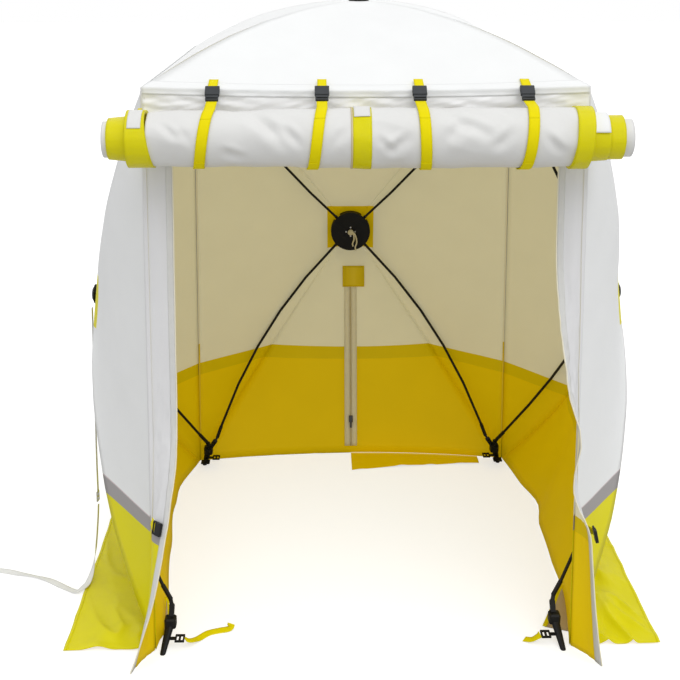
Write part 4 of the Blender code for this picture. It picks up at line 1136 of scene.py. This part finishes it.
# %% [markdown]
# ## Straps, buckles and tabs
# Four yellow straps hold the door up. Each one leaves its buckle below the eave, goes over the
# roll, down its front and up behind it to the valance. Its first part, next to the buckle, is a
# piece of its own.

# %% Door straps
BUCKLE_SLOPE = math.radians(42)
SOCKET_LENGTH = 0.032
PLUG_BASE = 0.018
STRAP_CLEARANCE = 0.0030
STRAP_WIDTH = 0.030
TAB_WIDTH = 0.026


def buckle_point(x, down_by):
    """A point on a buckle's line, which slopes down and forwards from the eave."""
    top = MIDDLE + Vector((x, -HALF_EAVE - 0.012, EAVE_HEIGHT + 0.004))
    down = Vector((0, -math.cos(BUCKLE_SLOPE), -math.sin(BUCKLE_SLOPE)))
    return top + down * (0.004 + down_by), down


def strap_path(top_x, bottom_x):
    """The strap's outer line, from its plug round the roll to the valance."""
    plug_end = buckle_point(top_x, SOCKET_LENGTH + PLUG_BASE + 0.0022)[0]
    height, depth = plug_end.z - ROLL_AXIS.z, plug_end.y - ROLL_AXIS.y
    clear = roll_radius(top_x) + STRAP_CLEARANCE
    first = math.atan2(height, depth) + math.acos(clear / math.hypot(height, depth))
    last = math.radians(354)
    path = [Vector((top_x, plug_end.y, plug_end.z))]
    for k in range(81):
        share = k / 80
        angle = first + (last - first) * share
        x = top_x + (bottom_x - top_x) * min(1.0, share * 1.6)
        path.append(roll_place(x, angle, roll_radius(x) + STRAP_CLEARANCE))
    hem_z = EAVE_HEIGHT - 0.003 - front_sag(bottom_x) - VALANCE_DEPTH
    path.append(Vector((bottom_x, MIDDLE.y - HALF_EAVE - 0.017, hem_z)))
    return path


def path_part(path, start, end, steps):
    return [along_route(path, start + (end - start) * k / steps) for k in range(steps + 1)]


def tape_on(name, route, rows, width=STRAP_WIDTH):
    """Webbing whose face stays parallel to X, as on the roll. Its outer face is on the left of
    the way it runs, seen from the right-hand end."""
    def place(across, share):
        return along_route(route, share) + Vector((width * (0.5 - across), 0, 0))
    return cloth(name, 4, rows, place, (width, route_length(route)), [yellow_web], WEBBING)


def off_roll(point, lift):
    """A point moved straight away from the roll's axis."""
    return point + Vector((0, *(point - ROLL_AXIS).yz)).normalized() * lift


BENDING_SHARE = 0.24
for number, (top_x, bottom_x) in enumerate(STRAP_PLACES, 1):
    path = strap_path(top_x, bottom_x)
    near = tape_on(f"door_strap_near_{number}", path_part(path, 0.0, BENDING_SHARE, 24), 24)
    rest = tape_on(f"door_strap_far_{number}", path_part(path, BENDING_SHARE, 1.0, 70), 70)
    stitched = tape_on(f"door_strap_end_{number}",
                       [off_roll(point, 0.0017) for point in path_part(path, 0.50, 0.56, 8)], 8)
    top, down = buckle_point(top_x, 0.0065)
    tab_route = smooth_route([MIDDLE + Vector((top_x, -HALF_EAVE + 0.030, EAVE_HEIGHT + 0.0170)),
                              MIDDLE + Vector((top_x, -HALF_EAVE + 0.004, EAVE_HEIGHT + 0.0085)),
                              top + UP * 0.0026, top + down * 0.010], 5)
    tab = tape_on(f"door_tab_{number}", tab_route, 20, TAB_WIDTH)
    along_route(path, 0.22)
    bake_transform(near)
    fasten("yellow_webbing", rest, stitched, tab)
    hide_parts(f"door_strap_{number}")
    total = route_length(path)
print("Each door strap is", round(route_length(strap_path(*STRAP_PLACES[1])), 3), "m long")

# %% [markdown]
# ## On the ground
# The skirts are loose flaps of shiny yellow cloth that lie around the walls. They carry deep
# creases. The left wall's flap passes under the guy line, so it is kept flat there.

# %% Skirts
SKIRT_WIDTH = 0.295
SKIRT_LIFT = 0.0024
SKIRT_RIPPLE = 0.006


def skirt_point(wall, turn, across, share, crease, seed):
    """A point of a skirt: out from the wall's bowed foot. across runs along the wall."""
    spin = Matrix.Rotation(turn, 3, "Z")
    side = 2 * across - 1
    inner = HALF_BASE + BASE_BOW * (1 - side * side) + wall.foot_shift(across) + 0.004
    outer = HALF_BASE + SKIRT_WIDTH
    wave = 0.5 - 0.5 * math.cos(math.tau * (2.5 * across + 0.6 * share))
    loose = math.sin(math.pi * min(1.0, share * 0.92 + 0.04))
    fold = 1 - abs(ripple(across * 1.6 + 0.5 * share, share * 0.35, seed, 5.0)) * 2.6
    fold = max(0.0, fold) ** 2 + 0.4 * max(0.0, ripple(across * 3, share * 0.7, seed + 5, 6.0))
    rise = SKIRT_LIFT + SKIRT_RIPPLE * share * wave + crease * loose * fold
    edge = 0.006 * ripple(across * 2.0, 0.3, seed + 2, 5.0) * share
    return MIDDLE + spin @ Vector((-side * HALF_BASE, inner + (outer - inner) * share
                                   - abs(edge), rise))


def skirt(name, node_name, wall, turn, crease, seed, along=(0.0, 1.0), calm=None):
    """A skirt with its hem. along is its part of the wall, and it lies flat round calm."""
    def place(across, share):
        here = along[0] + (along[1] - along[0]) * across
        depth = crease
        if calm is not None:
            depth *= min(1.0, abs(here - calm) * 6)
        return skirt_point(wall, turn, here, share, depth, seed)
    length = BASE_WIDTH * (along[1] - along[0])
    piece = cloth(name, 120, 40, lambda a, s: place(1 - a, s), (length, SKIRT_WIDTH),
                  [yellow_out, yellow_in])
    hem = cloth(f"{name}_hem", 120, 2, lambda a, s: place(1 - a, 0.965 + 0.035 * s) + UP * 0.0010,
                (length, 0.01), [yellow_out], 0.0020)
    fasten("yellow_cloth", piece, hem)
    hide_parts(node_name)


skirt("left_skirt_cloth", "skirt_left", left_side, math.pi / 2, 0.020, 3.0, calm=0.75)
skirt("right_skirt_cloth", "skirt_right", right_side, -math.pi / 2, 0.020, 7.0)
skirt("back_skirt_cloth", "skirt_back", back_side, 0.0, 0.010, 11.0, (0.50, 1.0))


def folded_point(across, share):
    """The half of the back skirt that is folded in over the floor, narrowing to the corner."""
    along_wall = 0.08 + 0.42 * across
    side = 2 * along_wall - 1
    edge = HALF_BASE + BASE_BOW * (1 - side * side)
    width = 0.16 * (1 - 0.6 * (1 - across))
    wave = 0.5 - 0.5 * math.cos(math.tau * (2 * across + 0.3))
    deep = edge + 0.004 - (width + 0.004) * (1 - share)
    crease = 0.006 * max(0.0, ripple(across * 1.5, share * 0.5, 15.0, 6.0)) * (1 - share)
    rise = 0.0026 + 0.004 * min(1.0, 2 * (1 - share)) * wave * (1 - across ** 8) + crease
    return MIDDLE + Vector((-side * HALF_BASE, deep, rise))


folded = cloth("back_skirt_folded", 70, 20, lambda a, s: folded_point(1 - a, s), (0.55, 0.16),
               [yellow_in, yellow_out])
fasten("yellow_cloth", folded)
print("Each skirt reaches", SKIRT_WIDTH, "m out from the straight line between the feet")

# %% [markdown]
# The back wall has a zip low down in its middle: two beige tapes with teeth between them, on the
# inside, and a patch of cloth over its top.

# %% Back zip
ZIP_LOW, ZIP_HIGH = 0.03, 0.80
ZIP_HALF = 0.027
ZIP_GAP = 0.0026
zip_ends = [back_side.surface(0, 0.5, height / WALL_HUB_HEIGHT, -CLOTH_STAND)
            for height in (ZIP_LOW, ZIP_HIGH)]
zip_out = back_side.right.cross((zip_ends[1] - zip_ends[0]).normalized())


def zip_strip(name, left, right, deep, material, thick=CLOTH, rows=40, low=0.0, high=1.0):
    """A strip inside the back wall, between two shares of the zip's length."""
    def place(across, share):
        spot = zip_ends[0].lerp(zip_ends[1], low + (high - low) * share)
        return spot + back_side.right * (left + (right - left) * across) - zip_out * deep
    piece = cloth(name, 2, rows, place, (right - left, 0.77), [material], thick)
    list(back_side.blend_ends(0))
    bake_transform(piece)
    return piece


zip_left = zip_strip("back_zip_tape_left", ZIP_GAP, ZIP_HALF, 0.0052, zip_cloth)
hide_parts("back_zip_tapes")
zip_strip("back_zip_tape_right", -ZIP_HALF, -ZIP_GAP, 0.0052, zip_cloth)
zip_strip("back_zip_teeth", -0.0034, 0.0034, 0.0047, seam_cloth, 0.0026)
zip_strip("back_zip_stop", -0.016, 0.016, 0.0066, zip_cloth, 0.0014, 4, 0.985, 1.0)
zip_strip("back_zip_patch", -0.061, 0.034, 0.0090, patch_cloth, rows=8, low=0.888, high=1.004)
print("The zip is", round(ZIP_HIGH - ZIP_LOW, 3), "m long")

# %% [markdown]
# At each front foot a strap leaves its ladder lock and trails over the floor. A beige triangle
# of cloth, edged with yellow tape, fills the corner between the side wall's bowed foot and the
# straight line from foot to foot.

# %% Threshold straps and gussets
THRESHOLD_WIDTH = 0.025
GUSSET_TAPE_WIDTH = 0.014
TAILS = (("left", -1, [(0.0590, -0.002, 0.0350), (0.074, 0.010, 0.022), (0.094, 0.040, 0.006),
                       (0.122, 0.072, 0.0030), (0.158, 0.086, 0.0030), (0.190, 0.092, 0.006),
                       (0.196, 0.098, 0.020)]),
         ("right", 1, [(-0.0590, 0.001, 0.0350), (-0.0670, 0.001, 0.028), (-0.085, 0.008, 0.012),
                       (-0.105, 0.024, 0.0024)]))
for name, x_sign, tail in TAILS:
    near = HALF_BASE - FRAME_INSET
    base = MIDDLE + Vector((x_sign * (near + 0.0104), -near - 0.0312, 0))
    route = smooth_route([base + Vector(point) for point in tail])
    piece = webbing(f"threshold_{name}", route, THRESHOLD_WIDTH,
                    lambda s: Vector((0, -0.15, 1)), yellow_web, 40)
    fasten("yellow_webbing", piece)
    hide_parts(f"threshold_strap_{name}")
    route_length(route)


def gusset(name, *corners):
    """The triangle between its far, inner and outer corner, with tape on its inner edge."""
    far, inner, outer = [Vector(corner) for corner in corners]

    def place(across, share):
        across = across if name == "right" else 1 - across
        lift = 0.006 * math.sin(math.pi * share) * math.sin(math.pi * across)
        return MIDDLE + inner.lerp(outer, across).lerp(far, min(share, 0.97)) + UP * lift
    piece = cloth(f"gusset_{name}", 10, 24, place, (0.08, 0.26), [beige_mesh])
    edging = [MIDDLE + inner.lerp(far, k / 12) + UP * 0.002 for k in range(13)]
    tape = webbing(f"gusset_edge_{name}", edging, GUSSET_TAPE_WIDTH, lambda s: UP, yellow_web, 24)
    fasten("white_cloth", piece)
    fasten("yellow_webbing", tape)


gusset("left", (-0.650, -0.440, 0.050), (-0.628, -0.560, 0.0034), (-0.640, -0.610, 0.0034))
gusset("right", (0.711, -0.312, 0.0034), (0.597, -0.558, 0.0034), (0.686, -0.590, 0.0034))
print("Threshold straps", [name for name, *_ in TAILS])

# %% [markdown]
# Low down on the outside of each jamb sits a black buckle on a short tape, which closes the
# door. A small loop of webbing hangs from the left eave corner.

# %% Closing buckles and corner loop
CLOSING_TAPE_WIDTH = 0.027
LOOP_WIDTH = 0.013
BUCKLE_HALF = (0.017, 0.0205, 0.0048)
BUCKLE_BEVEL = 0.0011
closing_black = Look("closing_buckle_plastic", (0.010, 0.010, 0.011), 0.35, sheen=0.3).material


def closing_buckle(name, x_sign, turns, height, share, off):
    """A short tape and a black buckle on the outside of a jamb, for closing the door low down."""
    up_share = height / JAMB_TOP

    def spot(across, up, stand):
        return jamb_point(x_sign, turns, across, up, stand)
    centre = spot(share, up_share, off)
    along = (spot(share + 0.2, up_share, off) - spot(share - 0.2, up_share, off)).normalized()
    upwards = (spot(share, up_share + 0.01, 0.0) - spot(share, up_share - 0.01, 0.0)).normalized()
    out = along.cross(upwards)
    upwards = out.cross(along)
    frame_of = Matrix((along, upwards, out)).transposed().to_4x4()
    frame_of.translation = centre
    bm = bmesh.new()
    long, wide, thick = BUCKLE_HALF
    bars = [((0.35 * long, 0, 0), (0.65 * long, wide, thick)),
            ((-0.92 * long, 0, 0), (0.10 * long, wide, thick * 0.6)),
            ((-0.55 * long, wide - 0.0015, 0), (0.45 * long, 0.0020, thick * 0.6)),
            ((-0.55 * long, 0.0015 - wide, 0), (0.45 * long, 0.0020, thick * 0.6))]
    for middle, half in bars:
        bmesh.ops.create_cube(bm, size=2.0, matrix=frame_of @ Matrix.Translation(middle)
                              @ Matrix.Diagonal((*half, 1)))
    bmesh.ops.bevel(bm, geom=bm.edges[:], offset=BUCKLE_BEVEL, affect="EDGES", segments=2,
                    profile=0.5, material=-1)
    buckle = add_object(f"closing_buckle_{name}", bm, [closing_black])
    route = [spot(share - back, up_share, s)
             for back, s in ((0.60, -0.0030), (0.46, -0.0036), (0.32, 0.3 * off - 0.0024),
                             (0.20, 0.75 * off), (0.14, off))]
    tape = webbing(f"closing_tape_{name}", route, CLOSING_TAPE_WIDTH, lambda s: out,
                   yellow_web, 16)
    fasten("black_plastic", buckle)
    fasten("yellow_webbing", tape)


closing_buckle("left", -1, LEFT_TURNS, 0.455, 0.68, -0.0085)
closing_buckle("right", 1, RIGHT_TURNS, 0.440, 0.95, -0.0190)

loop_top = MIDDLE + Vector((-HALF_EAVE - 0.009, -HALF_EAVE - 0.010, EAVE_HEIGHT - 0.058))
loop_route = smooth_route([loop_top + Vector(shift) for shift in (
    (0, 0, 0), (-0.004, -0.009, -0.010), (-0.003, -0.007, -0.022), (0, 0, -0.026))], 4)
fasten("yellow_webbing", webbing("corner_loop", loop_route, LOOP_WIDTH,
                                 lambda s: Vector((-0.5, -1, 0)), yellow_web, 12))
print("The corner loop is", round(route_length(loop_route), 3), "m long")

# %% [markdown]
# ## Small hard parts
# First the CAD model's own parts get their materials: black plastic for hubs and fittings, a
# smoother black for the rods, and steel for the guy line's buckle. Then a soft washer under each
# hub's cap presses on the cloth, and bright rivets show on the hub's inner face.


# %% Hard materials
def moulded(name, colour, roughness, ribs=None, metallic=0.0):
    """Plastic or metal with a faint grain, and ribs if they are asked for."""
    look = Look(name, colour, roughness, metallic, 0.2, "Object")
    look.paint(colour, 0.35, 30)
    height = look.noise(220.0, 2.0)
    if ribs:
        height = look.math("ADD", look.math("MULTIPLY", height, 0.4),
                           look.wave(WAVE_PERIOD / ribs, "DIAGONAL"))
    look.bump(height, 0.35, 0.0006)
    return look.material


hub_black = moulded("hub_plastic", (0.004, 0.004, 0.004), 0.50, ribs=0.012)
fitting_black = moulded("fitting_plastic", (0.010, 0.010, 0.010), 0.45)
buckle_grey = moulded("buckle_plastic", (0.045, 0.050, 0.055), 0.38)
rod_black = moulded("rod_black", (0.012, 0.012, 0.013), 0.30)
bright_steel = moulded("bright_steel", (0.62, 0.62, 0.63), 0.28, metallic=1.0)
zip_metal = moulded("zip_metal", (0.10, 0.10, 0.10), 0.35, metallic=0.8)
HARD_PARTS = (("_rod_", rod_black), ("_hub", hub_black), ("foot_", fitting_black),
              ("top_corner_", fitting_black), ("strap_socket", buckle_grey),
              ("strap_plug", buckle_grey), ("guy_buckle", bright_steel),
              ("back_zip_slider", zip_metal))
for name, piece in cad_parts.items():
    for part, material in HARD_PARTS:
        if part in name:
            piece.data.materials.clear()
            piece.data.materials.append(material)
            break
print(len(HARD_PARTS), "kinds of hard parts")


# %% Washers and rivets
def disc(name, centre, out, radius, height, material, body, slot_name, sides=40, soft=0.0012):
    """A round plate square to out, with a softened edge."""
    bm = bmesh.new()
    turn = out.to_track_quat("Z", "Y").to_matrix().to_4x4()
    bmesh.ops.create_cone(bm, cap_ends=True, segments=sides, radius1=radius, radius2=radius,
                          depth=height, matrix=Matrix.Translation(centre) @ turn)
    rims = [edge for edge in bm.edges if len(edge.link_faces) == 2
            and edge.calc_face_angle(0.0) > 0.8]
    bmesh.ops.bevel(bm, geom=rims, offset=soft, affect="EDGES", segments=3, profile=0.5,
                    material=-1)
    for face in bm.faces:
        face.smooth = len(face.verts) < 8
    fasten(slot_name, add_object(name, bm, [material]), body=body)


RIVET_CIRCLE = 0.019
WASHER_RADIUS, WASHER_HEIGHT = 0.034, 0.0045
RIVET_RADIUS, RIVET_HEIGHT = 0.0036, 0.0022
for side in (back_side, left_side, right_side, roof_side):
    body = f"{side.name}_hub"
    top = side.point(side.hub, side.bulge)
    disc(f"{side.name}_washer", top + side.out * WASHER_HEIGHT, side.out, WASHER_RADIUS,
         WASHER_HEIGHT, fitting_black, body, "black_plastic")
    inside = side.point(side.hub, side.bulge - FRAME_INSET - 0.018)
    for number in range(4):
        turn = math.tau * number / 4
        spot = inside + (side.right * math.cos(turn) + side.up * math.sin(turn)) * RIVET_CIRCLE
        disc(f"{side.name}_rivet_{number + 1}", spot - side.out * 0.0030, side.out, RIVET_RADIUS,
             RIVET_HEIGHT, bright_steel, body, "steel", 16, 0.0008)
